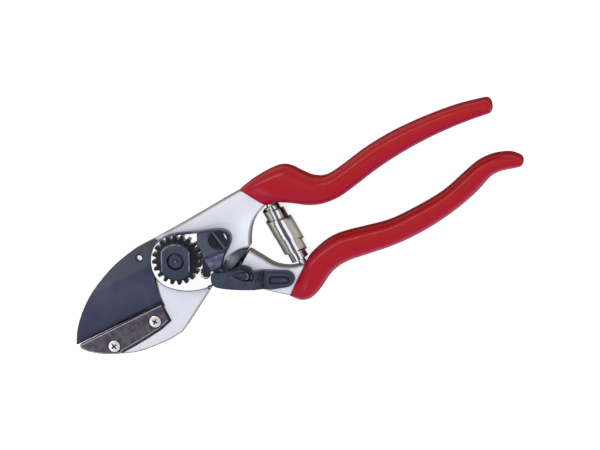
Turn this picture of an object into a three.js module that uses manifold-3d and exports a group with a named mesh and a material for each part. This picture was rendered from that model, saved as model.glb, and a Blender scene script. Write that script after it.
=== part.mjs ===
// One-hand anvil pruning shears, closed, lying on their back.
// Millimetres. Origin on the pivot axis at table height, +Z out of the front face,
// +X towards the handle ends, blade and anvil towards -X.
import * as THREE from 'three';
import Module from 'manifold-3d';

const wasm = await Module();
wasm.setup();

// ---------------------------------------------------------------- driving dimensions
const GAP = 0.3;              // clearance between neighbouring pieces
const JAW_START = 17;         // pivot to where the straight jaw starts
const JAW_LENGTH = 44;        // from there to the tip
const SPRING_TO_BEND = 13.1;  // spring to the bend of the grips
const PALM_LENGTH = 92;       // grips from the bend to their ends
const HANDLE_BACK = 3.5;      // back face of the forged handles
const HANDLE_THICK = 9.0;     // thickness of the forged handles
const HANDLE_EDGE = 0.8;      // broken edge round the forged handles
const HEAD_THICK = 3.8;       // plate of the moving arm in front of the hub
const BLADE_THICK = 3.2;      // blade at its spine
const BLADE_EDGE_THICK = 0.7; // blade at the cutting edge
const BOLT_R = 3.5;           // pivot bolt shank
const BOLT_HEAD_R = 7.4;      // hexagon head across the corners, halved
const HEX_PHASE = 3;          // degrees, one corner of the head
const BOLT_PROUD = 0.4;       // bolt end beyond the nut
const BUSH_WALL = 1.2;        // wall of the pivot bush
const TANG_R = 11.0;          // round tang of the blade
const BLADE_HOLE_R = 1.35;    // small hole in the blade's flat
const BLADE_ROOM_R = 20.0;    // recess for the blade beyond its tang
const HUB_R = 19.2;           // hub edge under the catch
const NUT_TEETH = 20;
const NUT_TIP_R = 11.1;
const NUT_ROOT_R = 9.3;
const NUT_FLANGE = 2.5;       // thickness of the toothed flange and the segment
const NUT_BOSS_R = 8.3;
const NUT_BOSS = 3.5;         // height of the boss
const NUT_FLATS = 12.7;       // width across the two flats
const NUT_PHASE = -3.8;       // degrees, one tooth
const SEGMENT_SCREW_R = 4.7;
const SEGMENT_SCREW_H = 2.0;
const ANVIL_BACK = 8.5;       // back face of the anvil plate
const ANVIL_THICK = 5.0;
const ANVIL_SCREW_R = 2.8;
const ANVIL_SHANK_R = 1.6;
const CATCH_THICK = 3.7;
const CATCH_STROKE = 2.0;
const CATCH_ANGLE = -27;      // degrees, direction of the catch
const LOCK_PIN_R = 1.05;
const OPEN_ANGLE = 20;        // degrees, how far the arms open
const GRIP_THICK = 16.0;      // sleeve, back to front
const GRIP_WALL = 1.8;        // sleeve wall at its sides
const GRIP_LIP = 0.6;         // sleeve wall at its front edge
const SPRING_STRIP = 0.6;     // thickness of the spring strip
const SPRING_TURNS = 2.6;     // turns in each half of the spring
const SPRING_R = 5.4;         // largest coil
const SPRING_END_R = 2.5;     // smallest coil
const SPRING_LENGTH = 26.8;
const SPRING_LEAN = 2.5;      // degrees, upper end towards the hub
const SPRING_MIDDLE = 11.6;   // width of the strip in the middle
const SPRING_END = 4.6;       // width of the strip at the ends
const SPRING_PIN_R = 1.7;

// ---------------------------------------------------------------- levels that follow
const HANDLE_FRONT = HANDLE_BACK + HANDLE_THICK;
const HANDLE_MID = HANDLE_BACK + HANDLE_THICK / 2;
const HEAD_BACK = HANDLE_FRONT + GAP;
const HEAD_FRONT = HEAD_BACK + HEAD_THICK;
const BLADE_BACK = HEAD_BACK - BLADE_THICK;
const RECESS = BLADE_BACK - GAP - 0.1;
const FLANGE_FRONT = HEAD_FRONT + NUT_FLANGE;
const BOSS_FRONT = FLANGE_FRONT + NUT_BOSS;
const CATCH_BACK = HEAD_FRONT + GAP;
const CATCH_FRONT = CATCH_BACK + CATCH_THICK;
const PAD_BACK = HANDLE_FRONT + GAP + 0.1;
const ANVIL_FRONT = ANVIL_BACK + ANVIL_THICK;

// ---------------------------------------------------------------- places
const SPRING_AT = [46.9, -11.5];        // middle of the spring
// points in the jaw and in the palm, by their share of its length
const jaw = (share, y) => [-JAW_START - share * JAW_LENGTH, y];
const palm = (share, y) => [SPRING_AT[0] + SPRING_TO_BEND + share * PALM_LENGTH, y];
const CATCH_AT = [9.5, -14.8];          // left end of the catch, on its centre line
const LOCK_PIN = [4.0, 1.2];            // along and across the catch
const CATCH_SCREW = [14.6, 1.6];
const SEGMENT_SCREW = [21.1, 0.0];
const ANVIL_SCREW_FRONT = jaw(0.645, -22.6);
const ANVIL_SCREW_REAR = jaw(0.145, -20.8);
const DOWEL = [-6.6, 5.6];
const UP_GRIP_TOP = [[38.4, 15.0], [46.0, 16.4], [53.5, 16.8], [59.0, 16.3],
  palm(0.03, 14.0), palm(0.068, 9.3), palm(0.104, 5.6), palm(0.163, 3.2), palm(0.261, 4.2),
  palm(0.391, 6.4), palm(0.543, 7.4), palm(0.707, 6.9), palm(0.87, 5.2), palm(1.004, 2.4)];
const UP_GRIP_BOTTOM = [[45.6, 2.9], [49.7, 2.2], [53.8, 0.1], [57.0, -2.0],
  palm(0.004, -4.4), palm(0.049, -6.4), palm(0.098, -7.6), palm(0.174, -8.0),
  palm(0.272, -6.5), palm(0.402, -4.2), palm(0.554, -2.7), palm(0.707, -2.3),
  palm(0.87, -3.1), palm(0.988, -4.5)];
const LOW_GRIP_TOP = [[48.9, -27.2], [51.9, -25.1], [55.3, -23.9], [60.0, -22.6],
  palm(0.06, -22.1), palm(0.125, -22.8), palm(0.217, -24.7), palm(0.337, -26.9),
  palm(0.478, -26.9), palm(0.62, -25.9), palm(0.734, -23.1), palm(0.826, -20.9),
  palm(0.897, -20.8), palm(0.952, -22.0), palm(0.996, -23.9), palm(1.023, -26.4)];
const LOW_GRIP_BOTTOM = [[35.7, -37.8], [39.4, -41.6], [44.2, -42.5], [50.0, -40.3],
  [57.0, -36.4], palm(0.054, -34.9), palm(0.174, -36.2), palm(0.315, -37.8),
  palm(0.478, -37.7), palm(0.641, -35.6), palm(0.766, -32.6), palm(0.854, -29.4),
  palm(0.902, -29.0), palm(0.941, -29.7), palm(0.972, -30.5), palm(0.998, -31.0)];

// ---------------------------------------------------------------- small geometry helpers
const rad = (degrees) => degrees * Math.PI / 180;

// smooth line through chosen points
function through(points, steps) {
  const spline = new THREE.CatmullRomCurve3(
    points.map(([x, y]) => new THREE.Vector3(x, y, 0)), false, 'centripetal');
  const count = (points.length - 1) * steps;
  return Array.from({ length: count + 1 }, (_, i) => {
    const p = spline.getPoint(i / count);
    return [p.x, p.y];
  });
}

function arc(cx, cy, r, from, to, steps) {
  return Array.from({ length: steps + 1 }, (_, i) => {
    const a = rad(from + (to - from) * i / steps);
    return [cx + r * Math.cos(a), cy + r * Math.sin(a)];
  });
}

function turned([x, y], degrees) {
  const c = Math.cos(rad(degrees));
  const s = Math.sin(rad(degrees));
  return [x * c - y * s, x * s + y * c];
}

// rounded slot between two points
function slot(a, b, r, steps = 8) {
  const angle = Math.atan2(b[1] - a[1], b[0] - a[0]) * 180 / Math.PI;
  return [...arc(b[0], b[1], r, angle - 90, angle + 90, steps),
    ...arc(a[0], a[1], r, angle + 90, angle + 270, steps)];
}

function plate(points, back, front, edge = 0) {
  const shape = new THREE.Shape(points.map(([x, y]) => new THREE.Vector2(x, y)));
  const geometry = new THREE.ExtrudeGeometry(shape, {
    depth: front - back - 2 * edge,
    bevelEnabled: edge > 0,
    bevelThickness: edge,
    bevelSize: edge,
    bevelOffset: -edge,
    bevelSegments: 1,
    steps: 1,
  });
  return geometry.translate(0, 0, back + edge);
}

// turned piece on the Z axis; profile as [radius, height] from the axis back to the axis
function turnedPiece(profile, x = 0, y = 0, segments = 32) {
  const points = profile.map(([r, z]) => new THREE.Vector2(r, z));
  return new THREE.LatheGeometry(points, segments).rotateX(Math.PI / 2).translate(x, y, 0);
}

function rod(r, back, front, x = 0, y = 0, segments = 24) {
  return turnedPiece([[0, back], [r, back], [r, front], [0, front]], x, y, segments);
}

// rod on the spring's axis, between two distances from the spring's middle
function springRod(r, from, to) {
  return alongSpring(new THREE.CylinderGeometry(r, r, to - from, 16)
    .translate(0, (from + to) / 2, 0));
}

// from the spring's own axes, Y along it, to the assembly
function alongSpring(geometry) {
  return geometry.rotateZ(rad(SPRING_LEAN)).translate(SPRING_AT[0], SPRING_AT[1], HANDLE_MID);
}

function block(x0, x1, y0, y1, z0, z1) {
  return new THREE.BoxGeometry(x1 - x0, y1 - y0, z1 - z0)
    .translate((x0 + x1) / 2, (y0 + y1) / 2, (z0 + z1) / 2);
}

// ---------------------------------------------------------------- joining and cutting
function welded(geometry) {
  const index = new Map();
  const source = geometry.index ? geometry.toNonIndexed() : geometry;
  const p = source.getAttribute('position');
  const vertices = [];
  const triangles = [];
  for (let i = 0; i < p.count; i += 3) {
    const corner = [0, 1, 2].map((k) => {
      const xyz = [p.getX(i + k), p.getY(i + k), p.getZ(i + k)];
      const key = xyz.map((v) => Math.round(v * 1e4)).join(' ');
      if (!index.has(key)) {
        index.set(key, vertices.length / 3);
        vertices.push(...xyz);
      }
      return index.get(key);
    });
    if (corner[0] !== corner[1] && corner[1] !== corner[2] && corner[2] !== corner[0]) {
      triangles.push(...corner);
    }
  }
  return { vertices, triangles };
}

function solid(geometry) {
  const { vertices, triangles } = welded(geometry);
  return new wasm.Manifold(new wasm.Mesh({
    numProp: 3,
    vertProperties: new Float32Array(vertices),
    triVerts: new Uint32Array(triangles),
  }));
}

function geometryOf(body) {
  const mesh = body.getMesh();
  const geometry = new THREE.BufferGeometry();
  const positions = new Float32Array(mesh.numVert * 3);
  for (let i = 0; i < mesh.numVert; i += 1) {
    for (let k = 0; k < 3; k += 1) {
      positions[3 * i + k] = mesh.vertProperties[i * mesh.numProp + k];
    }
  }
  geometry.setAttribute('position', new THREE.BufferAttribute(positions, 3));
  geometry.setIndex(Array.from(mesh.triVerts));
  return geometry;
}

const join = (...pieces) => pieces.map(solid).reduce((a, b) => a.add(b));
const without = (body, ...pieces) => pieces.map(solid).reduce((a, b) => a.subtract(b), body);
// what two bodies have in common
const common = (a, b) => a.subtract(a.subtract(b));

// ---------------------------------------------------------------- grips
const RING = 22;

// rounded section between two edge points
function section(top, bottom, inset, halfHeight, power) {
  const cx = (top[0] + bottom[0]) / 2;
  const cy = (top[1] + bottom[1]) / 2;
  const dx = top[0] - bottom[0];
  const dy = top[1] - bottom[1];
  const full = Math.hypot(dx, dy);
  const w = full / 2 - inset;
  return Array.from({ length: RING }, (_, i) => {
    const a = 2 * Math.PI * (i + 0.5) / RING;
    const c = Math.sign(Math.cos(a)) * Math.abs(Math.cos(a)) ** (2 / power);
    const s = Math.sign(Math.sin(a)) * Math.abs(Math.sin(a)) ** (2 / power);
    return [cx + dx / full * w * c, cy + dy / full * w * c, HANDLE_MID + halfHeight * s];
  });
}

// closed skin over a list of rings; the last ring is closed by a fan
function skin(rings) {
  const positions = [];
  const centre = (ring) => [0, 1, 2].map((k) => ring.reduce((sum, p) => sum + p[k], 0) / RING);
  for (let i = 0; i + 1 < rings.length; i += 1) {
    for (let j = 0; j < RING; j += 1) {
      const n = (j + 1) % RING;
      positions.push(...rings[i][j], ...rings[i][n], ...rings[i + 1][n]);
      positions.push(...rings[i][j], ...rings[i + 1][n], ...rings[i + 1][j]);
    }
  }
  [rings[0], [...rings[rings.length - 1]].reverse()].forEach((ring) => {
    const c = centre(ring);
    for (let j = 0; j < RING; j += 1) {
      positions.push(...c, ...ring[(j + 1) % RING], ...ring[j]);
    }
  });
  const geometry = new THREE.BufferGeometry();
  geometry.setAttribute('position', new THREE.BufferAttribute(new Float32Array(positions), 3));
  return geometry;
}

const sideWall = (t) => GRIP_LIP + (GRIP_WALL - GRIP_LIP) * Math.min(1, t / 0.16);
const halfThick = (t) => {
  const front = HANDLE_THICK / 2 + GAP + 0.8;
  const grow = Math.min(1, t / 0.14);
  return front + (GRIP_THICK / 2 - front) * Math.sin(grow * Math.PI / 2);
};
const END_RINGS = 1;          // rings of the sleeve's solid end
const TANG_RINGS = 3;         // rings that the tang stays short

function gripEdges(topPoints, bottomPoints, steps) {
  return { top: through(topPoints, steps), bottom: through(bottomPoints, steps) };
}

function sleeve(topPoints, bottomPoints) {
  const { top, bottom } = gripEdges(topPoints, bottomPoints, 2);
  const last = top.length - 1;
  const outer = top.map((p, i) => section(p, bottom[i], 0, halfThick(i / last), 2.7));
  const dx = top[last][0] - top[last - 1][0] + bottom[last][0] - bottom[last - 1][0];
  const dy = top[last][1] - top[last - 1][1] + bottom[last][1] - bottom[last - 1][1];
  const length = Math.hypot(dx, dy);
  [[0.9, 0.4], [1.5, 1.2], [1.8, 2.4]].forEach(([ahead, inset]) => {
    const move = ([x, y]) => [x + dx / length * ahead, y + dy / length * ahead];
    outer.push(section(move(top[last]), move(bottom[last]), inset,
      GRIP_THICK / 2 - inset, 2.7));
  });
  const cavity = [];
  const inside = HANDLE_THICK / 2 + GAP;
  cavity.push(section(
    top[0].map((v, k) => v - (top[1][k] - v) * 0.4),
    bottom[0].map((v, k) => v - (bottom[1][k] - v) * 0.4), GRIP_LIP, inside, 16));
  for (let i = 0; i <= last - END_RINGS; i += 1) {
    cavity.push(section(top[i], bottom[i], sideWall(i / last), inside, 16));
  }
  return without(solid(skin(outer)), skin(cavity));
}

// outline of the tang inside a grip: down one edge, round the end, back along the other
function tang(topPoints, bottomPoints) {
  const { top, bottom } = gripEdges(topPoints, bottomPoints, 2);
  const last = top.length - 1;
  const keep = last - TANG_RINGS + 1;
  const side = (p, q, t) => {
    const full = Math.hypot(q[0] - p[0], q[1] - p[1]);
    const inset = sideWall(t) + GAP;
    return [p[0] + (q[0] - p[0]) / full * inset, p[1] + (q[1] - p[1]) / full * inset];
  };
  const along = top.slice(0, keep).map((p, i) => side(p, bottom[i], i / last));
  const back = bottom.slice(0, keep).map((p, i) => side(p, top[i], i / last)).reverse();
  return { along, back };
}

// ---------------------------------------------------------------- the catch's own axes
const catchPoint = ([u, v]) => {
  const [x, y] = turned([u, v], CATCH_ANGLE);
  return [CATCH_AT[0] + x, CATCH_AT[1] + y];
};
const placeCatch = (geometry) => geometry
  .rotateZ(rad(CATCH_ANGLE))
  .translate(CATCH_AT[0], CATCH_AT[1], 0);
const lockedPin = [LOCK_PIN[0] - CATCH_STROKE, LOCK_PIN[1]];
const PIN_FREE = catchPoint(LOCK_PIN);
const PIN_LOCKED = catchPoint(lockedPin);
const PIN_BACK = HANDLE_FRONT - 1.9;

// ---------------------------------------------------------------- fixed arm
function upperHandle() {
  const grip = tang(UP_GRIP_TOP, UP_GRIP_BOTTOM);
  const topEdge = through([[-8.3, 12.0], [-3.8, 12.3], [1.7, 12.4], [9.5, 12.8], [18.0, 13.3],
    [28.0, 14.0], [37.8, 14.5]], 2);
  const innerEdge = through([[43.8, 3.0], [40.4, 1.7], [37.0, -0.4], [34.0, -3.5],
    [31.8, -7.0], [30.5, -9.6]], 2);
  const notch = through([[29.9, -9.8], [25.9, -9.0], [21.5, -9.3], [17.3, -10.9]], 3);
  const hub = arc(0, 0, HUB_R, -44, -66, 4);
  const jawEdge = [...through([[2.5, -20.8], [-5.6, -25.5], [-12.0, -29.2]], 1),
    ...through([[-14.6, -30.5], jaw(0.091, -31.1), jaw(0.241, -30.9), jaw(0.386, -30.3),
      jaw(0.509, -29.1), jaw(0.627, -27.1), jaw(0.764, -23.9), jaw(0.895, -19.7),
      jaw(0.945, -17.3)], 2)];
  const throat = through([[-16.6, -16.1], [-16.3, -12.0], [-15.3, -7.4], [-14.0, -3.2]], 2);
  const hubLeft = through([[-13.8, 2.6], [-11.9, 7.4], [-9.9, 10.9]], 3);
  const outline = [...topEdge, ...grip.along, ...grip.back, ...innerEdge, ...notch, ...hub,
    ...jawEdge, jaw(0.932, -16.1), ...throat, ...hubLeft].reverse();
  const front = HANDLE_FRONT + 1;
  const bladeRoom = [[0, 0], ...arc(0, 0, BLADE_ROOM_R, 96, 170, 8), [-22, -3.2], [-3, -3.2]];
  const anvilSeat = [[-16.6, -10], jaw(1.2, -10), jaw(1.2, -30), jaw(0.75, -30),
    jaw(0.623, -27.15), jaw(0.47, -26.85), jaw(0.295, -26.25), jaw(0.123, -25.35),
    [-16.6, -23.8]];
  const pocket = slot(PIN_LOCKED, PIN_FREE, LOCK_PIN_R + GAP);
  const pocketOpen = pocket.map((p) => turned(p, -OPEN_ANGLE));
  const body = solid(plate(outline, HANDLE_BACK, HANDLE_FRONT, HANDLE_EDGE));
  return without(body,
    plate(bladeRoom, RECESS, front),
    rod(TANG_R + GAP, RECESS, front, 0, 0, 40),
    rod(BOLT_R + 2 * GAP + BUSH_WALL, 0, front),
    plate(anvilSeat, ANVIL_BACK - GAP, front),
    rod(ANVIL_SHANK_R + GAP, HANDLE_BACK + 0.8, front, ...ANVIL_SCREW_FRONT, 16),
    rod(ANVIL_SHANK_R + GAP, HANDLE_BACK + 0.8, front, ...ANVIL_SCREW_REAR, 16),
    plate(pocket, PIN_BACK - GAP, front),
    plate(pocketOpen, PIN_BACK - GAP, front),
    springRod(SPRING_PIN_R + GAP, 10, SPRING_LENGTH / 2 + 6.5));
}

function anvilPlate() {
  const outline = [jaw(0.964, -15.5), [-16.95, -15.5], [-16.95, -23.5], jaw(0.125, -25.0),
    jaw(0.298, -25.9), jaw(0.47, -26.5), jaw(0.623, -26.8), jaw(0.677, -25.8),
    jaw(0.77, -24.0), jaw(0.843, -21.9), jaw(0.914, -19.5), jaw(0.964, -17.0)].reverse();
  const bored = [ANVIL_SCREW_FRONT, ANVIL_SCREW_REAR].flatMap(([x, y]) => [
    rod(ANVIL_SHANK_R + GAP, 0, 20, x, y, 16),
    rod(ANVIL_SCREW_R + GAP, ANVIL_FRONT - 2.4, 20, x, y, 24),
  ]);
  return without(solid(plate(outline, ANVIL_BACK, ANVIL_FRONT, 0.5)), ...bored);
}

function anvilScrew([x, y], turn) {
  const head = ANVIL_FRONT + 0.3;
  const body = solid(turnedPiece([[0, HANDLE_BACK + 1.2], [ANVIL_SHANK_R, HANDLE_BACK + 1.2],
    [ANVIL_SHANK_R, ANVIL_FRONT - 2.1], [ANVIL_SCREW_R, ANVIL_FRONT - 2.1],
    [ANVIL_SCREW_R, head - 0.5], [ANVIL_SCREW_R - 0.6, head], [0, head]], x, y, 24));
  const cross = [0, 90].map((a) => block(-1.7, 1.7, -0.4, 0.4, head - 1.1, head + 1)
    .rotateZ(rad(turn + a)).translate(x, y, 0));
  return without(body, ...cross);
}

function pivotBush() {
  const r = BOLT_R + GAP;
  return without(solid(rod(r + BUSH_WALL, HANDLE_BACK + 0.1, RECESS - 0.1)),
    rod(r, 0, HEAD_FRONT));
}

// ---------------------------------------------------------------- moving arm
function lowerHandle() {
  const grip = tang(LOW_GRIP_TOP, LOW_GRIP_BOTTOM);
  const reach = HUB_R + 3.0;
  const innerEdge = through([[29.3, -11.2], [31.3, -14.2], [33.2, -17.2], [35.6, -21.2],
    [39.4, -24.5], [43.6, -26.5], [46.6, -27.1]], 2);
  const outerEdge = through([[34.4, -35.7], [30.6, -32.7], [26.4, -29.1], [20.6, -25.4],
    [15.4, -22.2]], 2);
  const end = arc(0, 0, reach, -61, -42, 4);
  const bumperSeat = through([[20.4, -15.6], [22.7, -14.9], [25.4, -13.0], [28.4, -11.1]], 2);
  const body = plate([...innerEdge, ...grip.along, ...grip.back, ...outerEdge, ...end,
    ...bumperSeat].reverse(), HANDLE_BACK, HANDLE_FRONT, HANDLE_EDGE);
  const pear = through([[16.6, -10.9], [19.2, -8.2], [23.2, -5.2], [25.5, -2.9], [26.0, 0.2],
    [23.6, 3.3], [14.9, 6.6], [8.6, 9.0], [3.6, 10.8], [-1.8, 11.4], [-7.4, 9.6],
    [-11.7, 4.4], [-13.1, -1.6], [-11.9, -7.0], [-7.6, -11.9], [-1.5, -15.6], [4.4, -17.3],
    [9.2, -17.6]], 3);
  const neck = [catchPoint([5.0, -2.9]), catchPoint([10.0, -3.2]), catchPoint([16.8, -3.0]),
    catchPoint([16.8, 2.6]), catchPoint([10.0, 2.9]), catchPoint([5.9, 3.1]), [15.2, -12.6]];
  const head = plate([...pear, ...neck], HEAD_BACK, HEAD_FRONT, 0.5);
  const riser = plate([[18.8, -16.9], [15.6, -16.9], [13.6, -19.2], [18.5, -22.0],
    [22.8, -24.2], [24.9, -20.2]], HANDLE_FRONT - 1.5, HEAD_BACK + 1.5);
  return without(join(body, head, riser),
    rod(BOLT_R + GAP, 0, HEAD_FRONT + 1),
    rod(1.5 + GAP, 0, HEAD_FRONT - 0.8, ...DOWEL, 16),
    rod(1.8 + GAP, 0, HEAD_FRONT + 1, ...SEGMENT_SCREW, 16),
    rod(1.3 + GAP, HANDLE_FRONT, HEAD_FRONT + 1, ...catchPoint(CATCH_SCREW), 16),
    plate(slot(PIN_LOCKED, PIN_FREE, LOCK_PIN_R + GAP), HEAD_BACK - 1, HEAD_FRONT + 1),
    springRod(SPRING_PIN_R + GAP, -SPRING_LENGTH / 2 - 6.5, -10));
}

function blade() {
  const spine = through([jaw(1.005, -14.4), jaw(0.941, -10.0), jaw(0.848, -5.3), jaw(0.727, -0.7),
    jaw(0.58, 3.6), jaw(0.409, 7.2), jaw(0.227, 10.1), jaw(0.05, 11.7), [-15.6, 12.3],
    [-11.6, 12.45], [-6.8, 12.5]], 2);
  const round = [[-5.6, 10.3], ...arc(0, 0, TANG_R, 116, -160, 24)];
  const heel = through([[-14.35, -2.8], [-15.7, -7.4], [-16.7, -12.1], [-17.0, -15.15]], 2);
  const outline = [...spine, ...round, [-10.9, -2.8], ...heel, jaw(0.998, -14.9)].reverse();
  const drop = BLADE_THICK - BLADE_EDGE_THICK;
  const ground = new THREE.ExtrudeGeometry(new THREE.Shape([
    new THREE.Vector2(2.8, HEAD_BACK),
    new THREE.Vector2(2.8, HEAD_BACK + 3),
    new THREE.Vector2(-18.8, HEAD_BACK + 3),
    new THREE.Vector2(-18.8, HEAD_BACK - drop * 1.2),
  ]), { depth: JAW_LENGTH + 8, bevelEnabled: false });
  // profile drawn in (y, z), carried along -X
  ground.applyMatrix4(new THREE.Matrix4().makeBasis(new THREE.Vector3(0, 1, 0),
    new THREE.Vector3(0, 0, 1), new THREE.Vector3(1, 0, 0)))
    .translate(-JAW_START - JAW_LENGTH - 4.4, 0, 0);
  return without(solid(plate(outline, BLADE_BACK, HEAD_BACK)),
    ground,
    rod(BLADE_HOLE_R, 0, 20, -16.3, 7.6, 16),
    rod(1.5 + GAP, 0, 20, ...DOWEL, 16),
    rod(BOLT_R + GAP, 0, 20));
}

const bladeDowel = () => solid(rod(1.5, BLADE_BACK + 0.1, HEAD_FRONT - 1.2, ...DOWEL, 16));

function pivotBolt() {
  const head = arc(0, 0, BOLT_HEAD_R, HEX_PHASE, HEX_PHASE + 300, 5);
  const end = BOSS_FRONT + BOLT_PROUD;
  const neck = HANDLE_BACK - GAP;
  const body = join(plate(head, 0, neck, 0.4), turnedPiece([[0, neck - 1], [BOLT_R, neck - 1],
    [BOLT_R, end - 0.5], [BOLT_R - 0.5, end], [0, end]]));
  return without(body, turnedPiece([[0, end - 0.6], [1.1, end + 0.6], [0, end + 0.6]], 0, 0, 12));
}

function adjustingNut() {
  const pitch = 360 / NUT_TEETH;
  const teeth = Array.from({ length: NUT_TEETH }, (_, i) => {
    const a = NUT_PHASE + i * pitch;
    const mid = (NUT_TIP_R + NUT_ROOT_R) / 2;
    return [[NUT_ROOT_R, -6.4], [mid - 0.2, -4.9], [NUT_TIP_R - 0.25, -4.1], [NUT_TIP_R, -2.4],
      [NUT_TIP_R, 2.4], [NUT_TIP_R - 0.25, 4.1], [mid - 0.2, 4.9], [NUT_ROOT_R, 6.4]]
      .map(([r, d]) => [r * Math.cos(rad(a + d)), r * Math.sin(rad(a + d))]);
  }).flat();
  const boss = turnedPiece([[0, FLANGE_FRONT - 1], [NUT_BOSS_R, FLANGE_FRONT - 1],
    [NUT_BOSS_R, BOSS_FRONT - 0.6], [NUT_BOSS_R - 0.6, BOSS_FRONT], [0, BOSS_FRONT]], 0, 0, 40);
  const flats = [1, -1].map((side) => block(NUT_FLATS / 2, NUT_FLATS, -12, 12,
    FLANGE_FRONT, BOSS_FRONT + 1).rotateZ(rad(CATCH_ANGLE + (side > 0 ? 0 : 180))));
  return without(join(plate(teeth, HEAD_FRONT, FLANGE_FRONT), boss), ...flats,
    rod(BOLT_R + GAP, 0, BOSS_FRONT + 1));
}

function lockSegment() {
  const pitch = 360 / NUT_TEETH;
  const inner = NUT_TIP_R + GAP + 0.1;
  const tooth = (a) => [[inner, 3.6], [NUT_ROOT_R + 0.7, 1.7], [NUT_ROOT_R + 0.7, -1.7],
    [inner, -3.6]].map(([r, d]) => [r * Math.cos(rad(a + d)), r * Math.sin(rad(a + d))]);
  const gap = NUT_PHASE + pitch / 2;
  const comb = [tooth(gap), tooth(gap - pitch), tooth(gap - 2 * pitch)].flat();
  const tail = through([[8.2, -8.6], [6.6, -10.2], [6.3, -11.9], [7.4, -13.4], [9.3, -13.2],
    [10.6, -11.4]], 3);
  const rim = through([[13.3, -11.9], [15.7, -11.6], [18.1, -9.5], [20.5, -7.0], [24.3, -4.5],
    [26.1, -1.8], [25.8, 1.2], [23.6, 3.6], [18.6, 5.4], [14.4, 6.8]], 3);
  const outline = [...comb, ...tail, ...rim, [13.4, 6.2], [12.5, 4.2],
    [inner * Math.cos(rad(14)), inner * Math.sin(rad(14))]];
  return without(solid(plate(outline, HEAD_FRONT, FLANGE_FRONT)),
    rod(1.8 + GAP, 0, FLANGE_FRONT + 1, ...SEGMENT_SCREW, 16));
}

function segmentScrew() {
  const top = FLANGE_FRONT + SEGMENT_SCREW_H;
  const [x, y] = SEGMENT_SCREW;
  const body = solid(turnedPiece([[0, HEAD_BACK + 0.2], [1.8, HEAD_BACK + 0.2],
    [1.8, FLANGE_FRONT], [SEGMENT_SCREW_R, FLANGE_FRONT], [SEGMENT_SCREW_R, top - 0.9],
    [SEGMENT_SCREW_R - 0.5, top - 0.3], [SEGMENT_SCREW_R - 1.6, top], [0, top]], x, y, 28));
  return without(body, block(-6, 6, -0.95, 0.95, top - 1.1, top + 1).rotateZ(rad(-80))
    .translate(x, y, 0));
}

function bumper() {
  // its tail lies in the gap round the hub
  const tail = [[1.0, -43], [2.2, -42], [3.1, -40]].map(([out, a]) => turned([HUB_R + out, 0], a));
  const outline = [...through([[28.9, -10.4], [25.6, -9.45], [21.6, -9.75], [17.8, -11.35],
    tail[0]], 2), tail[1], tail[2],
    ...through([[20.2, -15.1], [22.5, -14.5], [25.1, -12.6]], 2)].reverse();
  return solid(plate(outline, HANDLE_BACK + 0.4, HANDLE_FRONT - 0.3, 0.3));
}

// stud between two distances from the spring's middle
const springPin = (from, to) => solid(springRod(SPRING_PIN_R, from, to));

function catchScrew() {
  const [x, y] = catchPoint(CATCH_SCREW);
  const under = CATCH_FRONT + GAP;
  return solid(turnedPiece([[0, HANDLE_FRONT + 0.4], [1.3, HANDLE_FRONT + 0.4], [1.3, under],
    [2.2, under], [2.1, under + 0.5], [1.3, under + 0.9], [0, under + 1.0]], x, y, 20));
}

// ---------------------------------------------------------------- catch
function catchSlide() {
  const plan = [...through([[0.5, 3.4], [0, 2.4], [0.1, -0.6], [1.2, -2.3], [3.4, -3.1],
    [8.0, -3.7], [14.0, -3.9], [20.0, -3.8], [26.0, -4.3], [31.0, -3.5], [34.0, -2.9],
    [36.0, -1.2], [36.4, 0.6], [35.6, 2.7], [33.4, 3.9], [30.0, 4.1], [22.5, 4.2],
    [18.2, 4.6]], 2), ...through([[17.6, 5.9], [15.6, 6.7], [13.2, 6.6], [12.7, 4.9]], 2),
  ...through([[8.0, 4.2], [4.0, 3.6]], 1)];
  const step = CATCH_FRONT - 1.2;
  const under = HEAD_FRONT + NUT_FLANGE + GAP;
  const padFront = PAD_BACK + 3.3;
  const profile = [[-1, under], [1.9, under], [1.9, CATCH_BACK], [19.0, CATCH_BACK],
    [22.3, PAD_BACK], [38, PAD_BACK], [38, padFront], [23.0, padFront],
    [19.6, CATCH_FRONT], [3.0, CATCH_FRONT], [-1, step + 0.4]];
  const side = new THREE.ExtrudeGeometry(
    new THREE.Shape(profile.map(([u, z]) => new THREE.Vector2(u, z))),
    { depth: 16, bevelEnabled: false }).rotateX(Math.PI / 2).translate(0, 9, 0);
  const body = common(solid(plate(plan, PAD_BACK - 1, CATCH_FRONT + 1)), solid(side));
  const travel = slot(CATCH_SCREW, [CATCH_SCREW[0] + CATCH_STROKE, CATCH_SCREW[1]], 1.3 + GAP);
  const cut = without(body, plate(travel, 0, 30));
  return solid(placeCatch(geometryOf(cut)));
}

function catchThumbPad() {
  const back = PAD_BACK + 3.3;
  const outline = [...through([[24.4, -3.2], [26.0, -3.5], [31.0, -2.7], [34.0, -2.1],
    [35.5, -0.6], [35.6, 0.8], [34.8, 2.3], [32.8, 3.2], [29.0, 3.4], [24.4, 3.4]], 2)];
  const grooves = [-1.3, 0.1, 1.5].map((v) => block(26.4, 34.0 - Math.abs(v), v - 0.35,
    v + 0.35, back + 0.4, back + 2));
  const cut = without(solid(plate(outline, back, back + 0.9)), ...grooves);
  return solid(placeCatch(geometryOf(cut)));
}

const catchLockPin = () => solid(rod(LOCK_PIN_R, PIN_BACK, CATCH_BACK, ...PIN_FREE, 16));

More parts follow.
